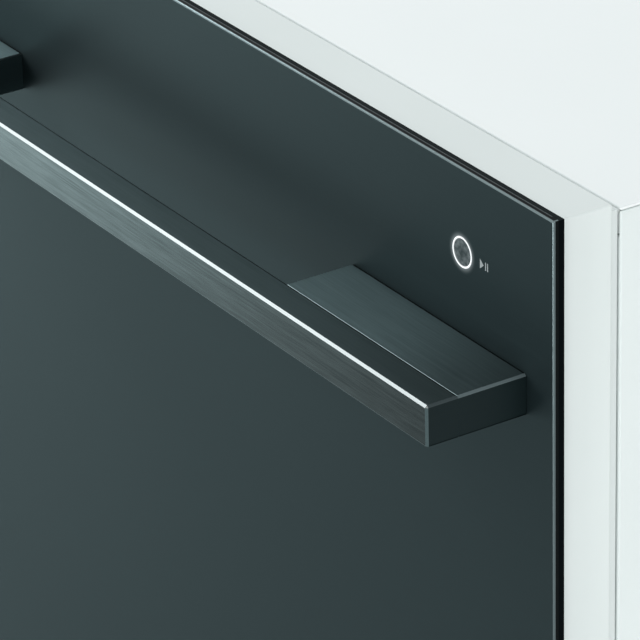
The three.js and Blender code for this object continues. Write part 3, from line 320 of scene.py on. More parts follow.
def ring_light_and_painted_glow(tree, reach, strength, falloff=1.0):
    """Emission strongest on the ring's middle line and gone at a distance: the ring's own light, and a
    painted glow of it on the steel round it.
    """
    centred = add_node(
        tree, "Mapping", object_place(tree), Location=(-ring_centre.x, 0, -ring_centre.z), Scale=(1, 0, 1),
    )
    radius = add_node(tree, "VectorMath", centred, operation="LENGTH").outputs["Value"]
    away = add_node(tree, "Math", radius, ring_middle, operation="SUBTRACT")
    size = add_node(tree, "Math", away, operation="ABSOLUTE")
    near = smooth_change(tree, size, 0.0, reach, 1.0, 0.0)
    eased = add_node(tree, "Math", near, falloff, operation="POWER")
    return add_node(tree, "Math", eased, strength, operation="MULTIPLY")


# A painted glow of the ring's light, emitted by the steel itself, lies narrow on the skin round the ring and
# wide and uneven on the button inside it.
painted_glow_steel = brushed("painted_glow_steel", *coated_tones, 0.5, edge_tint=0.7, metallic=0.45)
for material, reach, strength, falloff in ((coated_steel, 0.003, 0.17, 2.2), (painted_glow_steel, 0.0085, 0.12, 1.6)):
    tree = material.node_tree
    surface = next(node for node in tree.nodes if node.type == "BSDF_PRINCIPLED")
    glow = ring_light_and_painted_glow(tree, reach, strength, falloff)
    if material is painted_glow_steel:
        # Painted glow patches make the glow on the button uneven.
        painted_glow_patches = ranged(tree, noise(tree, object_place(tree), 620), 0.25, 1.5)
        glow = add_node(tree, "Math", glow, painted_glow_patches, operation="MULTIPLY")
    feed(surface.inputs["Specular Tint"], (0.6, 0.73, 0.74, 1))
    feed(surface.inputs["Emission Color"], (0.85, 0.97, 1, 1))
    feed(surface.inputs["Emission Strength"], glow)

skin_radius = 0.0006
skin_gauge = 0.0009
# Limits of the painted highlight band on the side roundings, measured back from the front.
painted_highlight_from, painted_highlight_to = 0.00004, skin_radius + 0.00025
hole_gap = 0.00005

skin = bmesh.new()
block(skin, skin_low, skin_high)
back = [face for face in skin.faces if face.normal.y > 0.9]
bmesh.ops.delete(skin, geom=back, context="FACES_ONLY")
folded = [e for e in skin.edges if len(e.link_faces) == 2]
bevelled(skin, folded, skin_radius, 4)
everything = skin.verts[:] + skin.edges[:] + skin.faces[:]
bmesh.ops.bisect_plane(skin, geom=everything, plane_co=(0, skin_low.y + painted_highlight_to, 0), plane_no=(0, 1, 0))
# Painted light and shade by facing and bevel segment: the side roundings' band gets the edge steel, the side
# flats the darkest steel, the top and bottom flats the folded steel, and their roundings the brightest.
for face in skin.faces:
    flat = max(abs(value) for value in face.normal) > 0.999
    back_by = face.calc_center_median().y - skin_low.y
    if face.normal.y < -0.999:
        face.material_index = 0
    elif abs(face.normal.x) > abs(face.normal.z):
        face.material_index = 0 if back_by < painted_highlight_from else 1 if back_by < painted_highlight_to else 3
    else:
        face.material_index = 2 if flat else 4
    face.smooth = not flat
front = max((face for face in skin.faces if face.normal.y < -0.999), key=lambda face: face.calc_area())
outline = list(front.edges)
bmesh.ops.delete(skin, geom=[front], context="FACES_ONLY")
hole = bmesh.ops.create_circle(skin, segments=96, radius=ring_outer + hole_gap)["verts"]
turn_by(skin, math.pi / 2, "X", hole)
move_by(skin, (ring_centre.x, skin_low.y, ring_centre.z), hole)
rim = list({e for vert in hole for e in vert.link_edges})
bmesh.ops.triangle_fill(skin, use_beauty=True, edges=outline + rim, normal=(0, -1, 0))
wall = bmesh.ops.extrude_edge_only(skin, edges=rim)
inner = [vert for vert in wall["geom"] if isinstance(vert, bmesh.types.BMVert)]
move_by(skin, (0, skin_gauge, 0), inner)
front_skin = placed(
    "front_skin_sheet", skin, "drawer", coated_steel, edge_steel, folded_steel, side_steel, upper_edge_painted_highlight,
)
stands_for("front_skin")

# The sheared edge of the skin's upper fold, notched short of the corners.
fold_notch = 0.0034
fold = bmesh.new()
block(
    fold,
    (skin_low.x + fold_notch, skin_high.y - 0.0004, skin_high.z - 0.0006),
    (skin_high.x - fold_notch, skin_high.y + 0.00015, skin_high.z + 0.00001),
    0.00008,
)
fold_edge = placed("front_skin_fold_edge", fold, "drawer", cut_steel)

# ------------------------------------------------------------------ light ring, start button and mark
# A clear light guide lit from behind stands round a steel button cap. The cap is brushed like the front and
# carries a painted glow of the ring's light. Beside it is a small start and pause mark in grey ink.
ring_light, tree, output = graph("ring_light")
lit = add_node(tree, "Emission", Color=(0.93, 0.98, 1, 1), Strength=ring_light_and_painted_glow(tree, 0.00062, 1.5))
feed(output, lit)

guide = bmesh.new()
bmesh.ops.create_circle(guide, segments=12, radius=(ring_outer - ring_inner) / 2)
move_by(guide, (ring_middle, 0, 0))
bmesh.ops.spin(
    guide, geom=guide.verts[:] + guide.edges[:], cent=(0, 0, 0), axis=(0, 1, 0), angle=2 * math.pi, steps=96,
    use_merge=True,
)
bmesh.ops.recalc_face_normals(guide, faces=guide.faces)
move_by(guide, (ring_centre.x, skin_low.y + 0.00036, ring_centre.z))
for face in guide.faces:
    face.smooth = True
light_ring = placed("light_guide_ring", guide, "drawer", ring_light)
stands_for("light_ring")

cap_radius = ring_inner - hole_gap
cap_depth = 0.003
cap = bmesh.new()
bmesh.ops.create_cone(
    cap, cap_ends=True, segments=96, radius1=cap_radius, radius2=cap_radius, depth=cap_depth,
)
rims = [e for e in cap.edges if len(e.link_faces) == 2 and any(len(f.verts) > 4 for f in e.link_faces)]
bevelled(cap, rims, 0.0001, 2)
turn_by(cap, math.pi / 2, "X")
move_by(cap, (ring_centre.x, skin_low.y + cap_depth / 2, ring_centre.z))
start_cap = placed("start_button_cap", cap, "start_button", painted_glow_steel)
stands_for("start_button")

printed_grey, tree, output = graph("printed_grey")
ink = add_node(tree, "BsdfPrincipled", Base_Color=(0.2, 0.225, 0.23, 1), Roughness=0.6)
feed(output, ink)

triangle_away, bars_away = 0.01072, (0.0132, 0.01432)
stroke_half, bar_half = 0.00025, 0.00148
ink_film = 0.00002
mark = bmesh.new()
bmesh.ops.create_circle(mark, segments=3, radius=0.0022, cap_ends=True)
turn_by(mark, math.pi / 2, "X")
turn_by(mark, math.pi / 2, "Y")
bmesh.ops.scale(mark, vec=(0.64, 1, 0.93), verts=mark.verts)
move_by(mark, (ring_centre.x + triangle_away, skin_low.y - ink_film, ring_centre.z))
for away in bars_away:
    block(
        mark,
        (ring_centre.x + away - stroke_half, skin_low.y - ink_film, ring_centre.z - bar_half),
        (ring_centre.x + away + stroke_half, skin_low.y + 0.0002, ring_centre.z + bar_half),
    )
start_mark = placed("start_pause_mark", mark, "drawer", printed_grey)

# ------------------------------------------------------------------ handle
# A solid square bar across two long blocks, all of one height, of the same coated steel and brushed along
# the bar. A flat on the bar's front top edge shows bright steel. The other edges are broken. Each facing of
# that steel gets its own tone as painted light and shade: lighter bar tops and much lighter block tops, a
# brighter front top flat than the end flats, dark ends without metal sheen, and a painted highlight where
# the block tops meet the bar.
bar_low, bar_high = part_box("handle_bar")
# Lit and shaded copies of the one coated steel: each facing and edge flat has its own tone as painted light
# and shade.
bar_steel = brushed(
    "bar_steel", (0.0128, 0.022, 0.023), (0.0512, 0.068, 0.0691), 0.22, edge_tint=0.7, pitch=2300,
)
top_steel = brushed(
    "top_steel", (0.049, 0.0745, 0.0777), (0.0685, 0.098, 0.1023), 0.33, edge_tint=0.7, pitch=3000,
)
block_steel = brushed(
    "block_steel", (0.13, 0.194, 0.203), (0.191, 0.27, 0.279), 0.3, edge_tint=0.7, pitch=3200,
)
end_steel = brushed(
    "end_steel", (0.0076, 0.0138, 0.0149), (0.0092, 0.016, 0.0171), 0.55, "Y", edge_tint=0.5, metallic=0.0,
)
bright_edge = brushed("bright_edge", (0.249, 0.272, 0.274), (0.314, 0.343, 0.344), 0.26, anisotropic=0.0)
soft_edge = brushed("soft_edge", (0.056, 0.082, 0.086), (0.074, 0.104, 0.108), 0.28, anisotropic=0.0)
seam_painted_highlight = brushed("seam_painted_highlight", (0.154, 0.2, 0.208), (0.172, 0.22, 0.228), 0.3)
# Painted shadow: a near-black steel for thin lines below the handle's ends and behind its tops.
painted_shadow_line = brushed("painted_shadow_line", (0.003, 0.006, 0.0065), (0.005, 0.009, 0.0095), 0.5, anisotropic=0.0)


def painted_shade_at_ends(material, near, end, least):
    """Paints shade into a finish: darkens its tone from one distance either side of the middle to the ends.
    """
    tree = material.node_tree
    ramp = next(node for node in tree.nodes if node.type == "VALTORGB")
    surface = next(node for node in tree.nodes if node.type == "BSDF_PRINCIPLED")
    sideways = add_node(tree, "SeparateXYZ", object_place(tree)).outputs["X"]
    away = add_node(tree, "Math", sideways, operation="ABSOLUTE")
    share = smooth_change(tree, away, near, end, 1.0, least)
    deeper = add_node(tree, "VectorMath", ramp, operation="SCALE", Scale=share)
    feed(surface.inputs["Base Color"], deeper)


# Painted shade: the bar front, bar top and block tops darken towards the handle's ends.
for material, near, least in ((bar_steel, 0.14, 0.72), (top_steel, 0.12, 0.66), (block_steel, 0.15, 0.4)):
    painted_shade_at_ends(material, near, 0.226, least)
end_edge = brushed(
    "end_edge", (0.085, 0.112, 0.118), (0.1, 0.13, 0.136), 0.6, "Y", anisotropic=0.0, metallic=0.0,
)
bar_end_edge = brushed(
    "bar_end_edge", (0.034, 0.046, 0.049), (0.042, 0.056, 0.059), 0.6, "Y", anisotropic=0.0, metallic=0.0,
)


def edges_where(mesh, test):
    """The edges of a bmesh whose middle passes a test."""
    return [e for e in mesh.edges if test((e.verts[0].co + e.verts[1].co) / 2)]


hair = 1e-5
chamfer = 0.0008
bar = bmesh.new()
block(bar, bar_low, bar_high)
chamfered = edges_where(
    bar, lambda p: (p.y < bar_low.y + hair) + (p.z > bar_high.z - hair) + (abs(p.x) > bar_high.x - hair) > 1,
)
bevelled(bar, chamfered, chamfer)
for face in bar.faces:
    end, front, top = abs(face.normal.x) > 0.5, face.normal.y < -0.5, face.normal.z > 0.5
    if front and top:
        face.material_index = 1
    elif end and front:
        face.material_index = 2
    elif end and top:
        face.material_index = 5
sharp = [
    e for e in bar.edges
    if e.calc_face_angle() > 1.2 and not any(face.material_index for face in e.link_faces)
    and abs(e.verts[0].co.x - e.verts[1].co.x) > 0.1
]
bevelled(bar, sharp, 0.0003, 3, 2)


def with_painted_shadow_lines(mesh, low_z, high_y, top, end, dark):
    """Gives a bar its top and end finishes, with a thin painted shadow line below its ends and behind its
    top.
    """
    for place, way in ((Vector((0, 0, low_z)), (0, 0, 1)), (Vector((0, high_y, 0)), (0, 1, 0))):
        everything = mesh.verts[:] + mesh.edges[:] + mesh.faces[:]
        bmesh.ops.bisect_plane(mesh, geom=everything, plane_co=place, plane_no=way)
    for face in mesh.faces:
        centre = face.calc_center_median()
        if abs(face.normal.x) > 0.99:
            face.material_index = dark if centre.z < low_z else end
        elif face.normal.z > 0.99:
            face.material_index = dark if centre.y > high_y else top


with_painted_shadow_lines(bar, bar_low.z + 0.0004, bar_high.y - 0.0006, 4, 3, 6)
handle_bar = placed(
    "handle_bar_brushed", bar, "drawer", bar_steel, bright_edge, soft_edge, end_steel, top_steel,
    bar_end_edge, painted_shadow_line,
)
stands_for("handle_bar")

# The blocks reach a little way into the bar's rounded edge and into the skin.
into_bar, into_skin = 0.00028, 0.00015
for word in ("left", "right"):
    low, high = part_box("handle_block_" + word)
    made = bmesh.new()
    block(made, low - Vector((0, into_bar, 0)), high + Vector((0, into_skin, 0)))
    tops = edges_where(made, lambda p: abs(p.x) > 0.2 and p.z > high.z - hair)
    bevelled(made, tops, chamfer, finish=3)
    inner = edges_where(made, lambda p: abs(p.x) < 0.12 and abs(p.z - (low.z + high.z) / 2) > 0.005)
    bevelled(made, inner, 0.0005, finish=5)
    sharp = edges_where(made, lambda p: abs(p.z - high.z) < hair and p.y < low.y and abs(p.x) < 0.2)
    bevelled(made, sharp, 0.00011, finish=1)
    with_painted_shadow_lines(made, low.z + 0.0004, high.y - 0.0004, 0, 2, 4)
    piece = placed(
        "handle_block_%s_brushed" % word, made, "drawer", block_steel, seam_painted_highlight, end_steel, end_edge,
        painted_shadow_line, edge_steel,
    )
    stands_for("handle_block_" + word)

# ------------------------------------------------------------------ backing board, liner and gasket
# Behind the skin a black fibreboard stiffens the front. A white moulded liner covers the drawer's inner
# side, screwed to the frame's posts, and a soft white gasket is glued round its back edge.


def softened(node, radius, *finishes, segments=2):
    """Stands in for a solid with a copy of it: its loose triangles are merged and its edges rounded."""
    made = bmesh.new()
    made.from_mesh(nodes[node].data)
    bmesh.ops.remove_doubles(made, verts=made.verts, dist=1e-5)
    bmesh.ops.dissolve_limit(made, angle_limit=0.02, verts=made.verts, edges=made.edges)
    sharp = [e for e in made.edges if len(e.link_faces) == 2 and abs(e.calc_face_angle()) > 0.5]
    bevelled(made, sharp, radius, segments, clamp_overlap=True)
    for face in made.faces:
        face.smooth = False
    piece = placed(node + "_finished", made, body_of[node], *finishes)
    stands_for(node)
    return piece


body_of = {node: body for body, held in frame["record"]["behaviour"]["bodies"].items() for node in held}


def surfaced(
    name, dark, light, roughness, grain=1400, relief=0.12, patch=7, metallic=0.0, specular=0.5,
):
    """Paint or plastic: broad changes of tone, a finer change of gloss, and a fine raised grain."""
    material, tree, output = graph(name)
    place = object_place(tree)
    broad = noise(tree, place, patch, 4.0, 0.55)
    handled = noise(tree, place, patch * 6, 3.0)
    surface = add_node(
        tree, "BsdfPrincipled", Metallic=metallic, Specular_IOR_Level=specular,
        Base_Color=coloured(tree, broad, dark, light),
        Roughness=ranged(tree, handled, roughness - 0.05, roughness + 0.05),
    )
    raised(tree, surface, noise(tree, place, grain), relief, 0.0002)
    feed(output, surface)
    return material


black_board = surfaced(
    "black_board", (0.0012, 0.0022, 0.0028), (0.002, 0.0034, 0.0042), 0.7, 900, specular=0.02,
)
board_top_painted_light = surfaced(
    "board_top_painted_light", (0.0105, 0.0145, 0.0152), (0.0135, 0.018, 0.0188), 0.7, 900, specular=0.02,
)
board = softened("front_backing_board", 0.0003, black_board, board_top_painted_light)
# Painted light: the board's upward faces take a lighter copy of its black.
for face in board.data.polygons:
    face.material_index = int(face.normal.z > 0.9)

liner_white = surfaced(
    "liner_white", (0.705, 0.755, 0.742), (0.742, 0.79, 0.777), 0.5, 2200, 0.08, specular=0.25,
)
softened("inner_liner", 0.0012, liner_white, segments=3)

gasket_white = surfaced(
    "gasket_white", (0.66, 0.705, 0.695), (0.7, 0.745, 0.735), 0.72, 1500, 0.1, specular=0.2,
)
gasket_low, gasket_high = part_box("drawer_gasket")
lip = 0.0068
gasket = bmesh.new()
for low, high in (
    ((gasket_low.x, gasket_low.z), (gasket_low.x + lip, gasket_high.z)),
    ((gasket_high.x - lip, gasket_low.z), (gasket_high.x, gasket_high.z)),
    ((gasket_low.x + lip, gasket_high.z - lip), (gasket_high.x - lip, gasket_high.z)),
):
    block(gasket, (low[0], gasket_low.y - 0.0002, low[1]), (high[0], gasket_high.y, high[1]))
rounded = [
    e for e in gasket.edges
    if all(v.co.y > gasket_high.y - 1e-6 for v in e.verts)
    and not any(abs(abs(v.co.x) - (gasket_high.x - lip)) < 1e-6 for v in e.verts)
]
bevelled(gasket, rounded, 0.0008, 3)
seal = placed("drawer_gasket_strip", gasket, "drawer", gasket_white)
stands_for("drawer_gasket")

# ------------------------------------------------------------------ control module and handle screws
# A black moulded box, clipped to the back of the board, holds the button's circuit board and its plug.
# Four zinc-plated screws come through the board into the handle bar.
module_black = surfaced("module_black", (0.006, 0.0065, 0.007), (0.01, 0.0105, 0.011), 0.45, 1800, 0.15)
softened("control_module", 0.0012, module_black)
module_low, module_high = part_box("control_module")
plug_white = surfaced("plug_white", (0.6, 0.59, 0.55), (0.68, 0.67, 0.63), 0.4, 1500)
plug = bmesh.new()
plug_x = module_low.x + 0.012
plug_z = module_low.z + 0.009
module_back = module_high.y
block(
    plug, (plug_x, module_back - 0.001, plug_z), (plug_x + 0.018, module_back + 0.0035, plug_z + 0.007),
    0.0005,
)
pin_half, pin_pitch = 0.0004, 0.0032
for pin in range(5):
    pin_x = plug_x + 0.0026 + pin * pin_pitch
    block(
        plug,
        (pin_x - pin_half, module_back + 0.003, plug_z + 0.003),
        (pin_x + pin_half, module_back + 0.0048, plug_z + 0.004),
    )
module_plug = placed("control_module_plug", plug, "drawer", plug_white)


def turned_metal(name, dark, light, roughness, axis="Z", centre=(0, 0, 0), pitch=2600):
    """Metal from a lathe: fine rings about an axis in tone, gloss and relief, and broad staining."""
    material, tree, output = graph(name)
    place = object_place(tree)
    flat = [1 - value for value in unit[axis]]
    shift = [-value * kept for value, kept in zip(centre, flat)]
    radial = add_node(tree, "Mapping", place, Location=shift, Scale=flat)
    radius = add_node(tree, "VectorMath", radial, operation="LENGTH").outputs["Value"]
    height = add_node(tree, "VectorMath", place, unit[axis], operation="DOT_PRODUCT").outputs["Value"]
    cuts = noise(tree, add_node(tree, "CombineXYZ", radius, height), (pitch, pitch, 0), 3.0, 0.6)
    stain = noise(tree, place, 35, 4.0, 0.6)
    surface = add_node(
        tree, "BsdfPrincipled", Metallic=1.0,
        Base_Color=coloured(tree, mixed(tree, cuts, stain, 0.4), dark, light),
        Roughness=ranged(tree, stain, roughness - 0.07, roughness + 0.07),
    )
    raised(tree, surface, cuts, 0.12, 0.0001)
    feed(output, surface)
    return material


def turned_shape(outline, axis="Z", centre=(0, 0, 0), steps=32, closed=True):
    """A turned shape from its (radius, height) outline, placed about an axis, as a bmesh of its own."""
    made = bmesh.new()
    points = [made.verts.new((radius, 0, height)) for radius, height in outline]
    ends = points[1:] + points[:1] if closed else points[1:]
    lines = [made.edges.new(pair) for pair in zip(points, ends)]
    bmesh.ops.spin(
        made, geom=points + lines, cent=(0, 0, 0), axis=(0, 0, 1), angle=2 * math.pi, steps=steps,
        use_merge=True,
    )
    bmesh.ops.remove_doubles(made, verts=made.verts, dist=2e-6)
    bmesh.ops.recalc_face_normals(made, faces=made.faces)
    if axis == "X":
        turn_by(made, math.pi / 2, "Y")
    if axis == "Y":
        turn_by(made, -math.pi / 2, "X")
    move_by(made, centre)
    for face in made.faces:
        face.smooth = True
    return made


def add_to(mesh, part, finish=0):
    """Adds one bmesh to another, with its faces in one of the piece's finishes."""
    for face in part.faces:
        face.material_index = finish
    data = bpy.data.meshes.new("part")
    part.to_mesh(data)
    part.free()
    mesh.from_mesh(data)
    bpy.data.meshes.remove(data)


def creased(piece, angle=0.6):
    """Shades a piece smoothly between its sharp edges."""
    piece.data.shade_smooth()
    piece.data.set_sharp_from_angle(angle=angle)


def fitted(node, ending, mesh, *finishes, angle=0.6):
    """Puts a mesh in a solid's place on its body, shaded smoothly between its sharp edges."""
    piece = placed(node + ending, mesh, body_of[node], *finishes)
    creased(piece, angle)
    stands_for(node)


screw_zinc = turned_metal("screw_zinc", (0.32, 0.34, 0.33), (0.5, 0.52, 0.5), 0.34, "Y")
core_radius, crest_radius, shank_radius, head_radius = 0.0019, 0.0025, 0.0021, 0.005
head_height, screw_pitch = 0.0032, 0.0008
for word in ("left_outer", "left_inner", "right_outer", "right_inner"):
    node = "handle_screw_" + word
    low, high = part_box(node)
    middle = ((low.x + high.x) / 2, 0, (low.z + high.z) / 2)
    head = high.y - head_height
    outline = [(0, low.y), (core_radius, low.y)]
    for turn_number in range(10):
        start = low.y + 0.0006 + turn_number * screw_pitch
        outline += [(core_radius, start), (crest_radius, start + 0.0003), (core_radius, start + 0.0006)]
    outline += [
        (shank_radius, low.y + 0.0095), (shank_radius, head), (head_radius, head),
        (head_radius, head + 0.0021), (0.0044, head + head_height), (0.0022, head + head_height),
        (0.0018, head + 0.0014), (0, head + 0.0014),
    ]
    fitted(node, "_turned", turned_shape(outline, "Y", middle, 24, closed=False), screw_zinc)

# ------------------------------------------------------------------ drawer frame
# Two rails with tall gussets, two posts and a floor, folded from galvanised sheet and welded into one.
# The posts are screwed to the liner and hold the whole front.


def galvanised(name, dark, light, roughness=0.4, size=240):
    """Zinc-coated sheet: crystals that differ in tone and gloss, with a fine rolled grain."""
    material, tree, output = graph(name)
    place = object_place(tree)
    bent = noise(tree, place, size * 1.5)
    shift = add_node(tree, "CombineXYZ", bent, bent, bent)
    wander = add_node(tree, "VectorMath", shift, operation="SCALE", Scale=0.006)
    wandered = add_node(tree, "VectorMath", place, wander, operation="ADD")
    crystals = add_node(tree, "TexVoronoi", wandered, Scale=size).outputs["Color"]
    single = add_node(tree, "SeparateColor", crystals).outputs["Red"]
    tone = mixed(tree, single, noise(tree, place, 9, 4.0), 0.65)
    surface = add_node(
        tree, "BsdfPrincipled", Metallic=1.0, Base_Color=coloured(tree, tone, dark, light),
        Roughness=ranged(tree, tone, roughness + 0.08, roughness - 0.06),
    )
    raised(tree, surface, noise(tree, place, 1500), 0.06, 0.0001)
    feed(output, surface)
    return material


zinc_sheet = galvanised("zinc_sheet", (0.36, 0.38, 0.385), (0.46, 0.48, 0.485))
softened("drawer_frame", 0.0006, zinc_sheet)


def hex_heads(name, body, places, axis, size, slot, *finishes, inwards=False):
    """Hexagon screws with washer faces, seated on a face and standing out along an axis."""
    heads = bmesh.new()
    for place in places:
        flange = [
            (0, 0), (size * 1.4, 0), (size * 1.4, size * 0.1), (size * 1.15, size * 0.2), (0, size * 0.2),
        ]
        head = turned_shape(flange, steps=16, closed=False)
        hexagon = bmesh.ops.create_cone(
            head, cap_ends=True, segments=6, radius1=size, radius2=size * 0.94, depth=size * 0.55,
        )["verts"]
        move_by(head, (0, 0, size * 0.4), hexagon)
        half_turn = -1 if inwards else 1
        if axis == "X":
            turn_by(head, half_turn * math.pi / 2, "Y")
        if axis == "Y":
            turn_by(head, -half_turn * math.pi / 2, "X")
        move_by(head, place)
        add_to(heads, head)
    piece = placed(name, heads, body, *finishes)
    creased(piece)
    return piece


frame_low, frame_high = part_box("drawer_frame")
post_x = frame_high.x - 0.028
post_face = frame_low.y + 0.002
post_screw_heights = (0.19, 0.3, 0.41, 0.46)
hex_heads(
    "drawer_post_screws", "drawer",
    [(side * post_x, post_face, z) for side in (-1, 1) for z in post_screw_heights],
    "Y", 0.0032, "zinc_steel", screw_zinc,
)

# ------------------------------------------------------------------ bin and bag retainer
# A deep bin, moulded in grey polypropylene with ribs on its front and back, stands on the
# frame's floor. A black plastic hoop with four finger knobs lies on its rim and holds the bag.
bin_grey = surfaced("bin_grey", (0.235, 0.25, 0.255), (0.275, 0.29, 0.295), 0.48, 1600, 0.1)
bin_low, bin_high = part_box("bin")
rim = 0.006
bin_wall = 0.0018
bin_corner = 0.012
shell = bmesh.new()
block(shell, bin_low + Vector((rim, rim, 0)), bin_high - Vector((rim, rim, 0)))
lid = [face for face in shell.faces if face.normal.z > 0.9]
bmesh.ops.delete(shell, geom=lid, context="FACES_ONLY")
middle = (bin_low + bin_high) / 2
upright = [e for e in shell.edges if abs(e.verts[0].co.z - e.verts[1].co.z) > 0.1]
low_edges = [e for e in shell.edges if all(v.co.z < bin_high.z - 0.1 for v in e.verts)]
bevelled(shell, upright + low_edges, bin_corner, 5)
brim = [e for e in shell.edges if len(e.link_faces) == 1]
for grow, drop in ((rim, 0.0), (0.0, rim)):
    out = bmesh.ops.extrude_edge_only(shell, edges=brim)
    verts = [v for v in out["geom"] if isinstance(v, bmesh.types.BMVert)]
    for vert in verts:
        reach = Vector((vert.co.x - middle.x, vert.co.y - middle.y))
        vert.co.x += math.copysign(grow, reach.x) * min(1, max(0, (abs(reach.x) - 0.1) / 0.02))
        vert.co.y += math.copysign(grow, reach.y) * min(1, max(0, (abs(reach.y) - 0.13) / 0.02))
        vert.co.z -= drop
    brim = [e for e in out["geom"] if isinstance(e, bmesh.types.BMEdge)]
bmesh.ops.recalc_face_normals(shell, faces=shell.faces)
bmesh.ops.solidify(shell, geom=shell.faces[:], thickness=bin_wall)
for face in shell.faces:
    face.smooth = True
rib_pitch, rib_half = 0.052, 0.0016
for side in (-1, 1):
    wall = middle.y + side * (bin_high.y - middle.y - rim)
    root, crest = sorted((wall - side * 0.0014, wall + side * 0.0026))
    for column in range(-2, 3):
        x = column * rib_pitch
        block(
            shell, (x - rib_half, root, bin_low.z + 0.03), (x + rib_half, crest, bin_high.z - rim), 0.0007,
        )
fitted("bin", "_moulding", shell, bin_grey, angle=0.7)

hoop_black = surfaced("hoop_black", (0.012, 0.013, 0.014), (0.02, 0.021, 0.022), 0.42, 1800, 0.12)
softened("bag_retainer", 0.0012, hoop_black, segments=3)

# ------------------------------------------------------------------ runners and rollers
# Galvanised channels are screwed to the base on both sides. Each has a nylon roller at its front end,
# and each rail of the drawer frame has one at its back end.
softened("runner_left", 0.0004, zinc_sheet)
softened("runner_right", 0.0004, zinc_sheet)
nylon_white = surfaced("nylon_white", (0.63, 0.61, 0.54), (0.7, 0.68, 0.61), 0.4, 1200, 0.05)
dish, rounding = 0.0014, 0.0008
for node in ("front_roller_left", "front_roller_right", "rear_roller_left", "rear_roller_right"):
    low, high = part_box(node)
    outside = (high.z - low.z) / 2
    half = (high.x - low.x) / 2
    section = [
        (0.0033, -half), (0.0052, -half), (0.0058, -half + dish), (outside - 0.0035, -half + dish),
        (outside - 0.0029, -half), (outside - rounding, -half), (outside, -half + rounding),
        (outside, half - rounding), (outside - rounding, half), (outside - 0.0029, half),
        (outside - 0.0035, half - dish), (0.0058, half - dish), (0.0052, half), (0.0033, half),
    ]
    fitted(node, "_turned", turned_shape(section, "X", (low + high) / 2), nylon_white)

# ------------------------------------------------------------------ cabinet shell
# Side panels, a rear panel and a top cover of thin steel sheet, folded, powder-coated white and held
# with hexagon sheet-metal screws. Long pressed beads stiffen them.
powder_white = surfaced(
    "powder_white", (0.725, 0.775, 0.765), (0.755, 0.805, 0.795), 0.44, 700, 0.1, 5, specular=0.3,
)
# Painted light: the top cover takes a lighter copy of the same white powder coat.
cover_white_painted_light = surfaced(
    "cover_white_painted_light", (0.85, 0.885, 0.88), (0.875, 0.91, 0.905), 0.44, 700, 0.1, 5, specular=0.3,
)
body_screw = turned_metal("body_screw", (0.3, 0.31, 0.3), (0.45, 0.46, 0.44), 0.36, "Y")


def beads(name, boxes, direction, finish):
    """Long rounded ridges pressed in a sheet, each rising from its box's base along an axis."""
    pressed = bmesh.new()
    for low, high in boxes:
        single = bmesh.new()
        block(single, low, high)
        centre = (Vector(low) + Vector(high)) / 2
        rise = abs((Vector(high) - Vector(low)).dot(direction)) - 0.0001
        upright = [
            e for e in single.edges
            if abs((e.verts[0].co - e.verts[1].co).normalized().dot(direction)) > 0.9
        ]
        bevelled(single, upright, bead_radius, 5)
        top = [
            e for e in single.edges
            if all((v.co - centre).dot(direction) > 0 for v in e.verts)
            and any(abs(f.normal.dot(direction)) < 0.5 for f in e.link_faces)
        ]
        bevelled(single, top, rise * 0.95, 4)
        add_to(pressed, single)
    piece = placed(name, pressed, "cabinet", finish)
    creased(piece, 1.0)


def refinished(node, finish):
    """Gives a solid that is shown as it is its own finish."""
    nodes[node].data.materials.clear()
    nodes[node].data.materials.append(finish)


bead_radius, bead_half, bead_foot = 0.0045, 0.008, 0.0003
side_bead_from, side_bead_to = 0.2, 0.79
base_screws_at, channel_screws_at = 0.058, 0.849
side_screw = 0.003
for word, side in (("left", -1), ("right", 1)):
    node = "side_panel_" + word
    softened(node, 0.0006, powder_white)
    low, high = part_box(node)
    face_x = high.x if side > 0 else low.x
    near, far = sorted((face_x - side * bead_foot, face_x + side * 0.0014))
    ridges = [
        ((near, y - bead_half, side_bead_from), (far, y + bead_half, side_bead_to))
        for y in (-0.1, 0.04, 0.18)
    ]
    beads(node + "_beads", ridges, Vector((side, 0, 0)), powder_white)
    spots = [(face_x, y, base_screws_at) for y in (-0.17, 0.0, 0.17, 0.295)]
    spots += [(face_x, y, channel_screws_at) for y in (-0.0715, -0.0315)]
    hex_heads(
        node + "_screws", "cabinet", spots, "X", side_screw, "zinc_steel", body_screw, inwards=side < 0,
    )

refinished("rear_panel", powder_white)
rear_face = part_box("rear_panel")[1].y
bead_base, bead_top = rear_face - bead_foot, rear_face + 0.0013
reach, half = 0.17, 0.007
ridges = [((-reach, bead_base, z - half), (reach, bead_top, z + half)) for z in (0.3, 0.42, 0.54)]
beads("rear_panel_beads", ridges, Vector((0, 1, 0)), powder_white)
flange_screw_heights = (0.045, 0.19, 0.335, 0.48, 0.625, 0.77)
rear_screws = [(side * 0.2175, rear_face, z) for side in (-1, 1) for z in flange_screw_heights]
rear_screws += [(x, rear_face, 0.855) for x in (-0.19, -0.0633, 0.0633, 0.19)]
fan_low, fan_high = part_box("fan_housing")
fan_middle = (fan_low + fan_high) / 2
fan_screw = 0.0415
rear_screws += [
    (fan_middle.x + across * fan_screw, rear_face, fan_middle.z + up * fan_screw)
    for across in (-1, 1) for up in (-1, 1)
]
sheet_screw = 0.0029
hex_heads("rear_panel_screws", "cabinet", rear_screws, "Y", sheet_screw, "zinc_steel", body_screw)

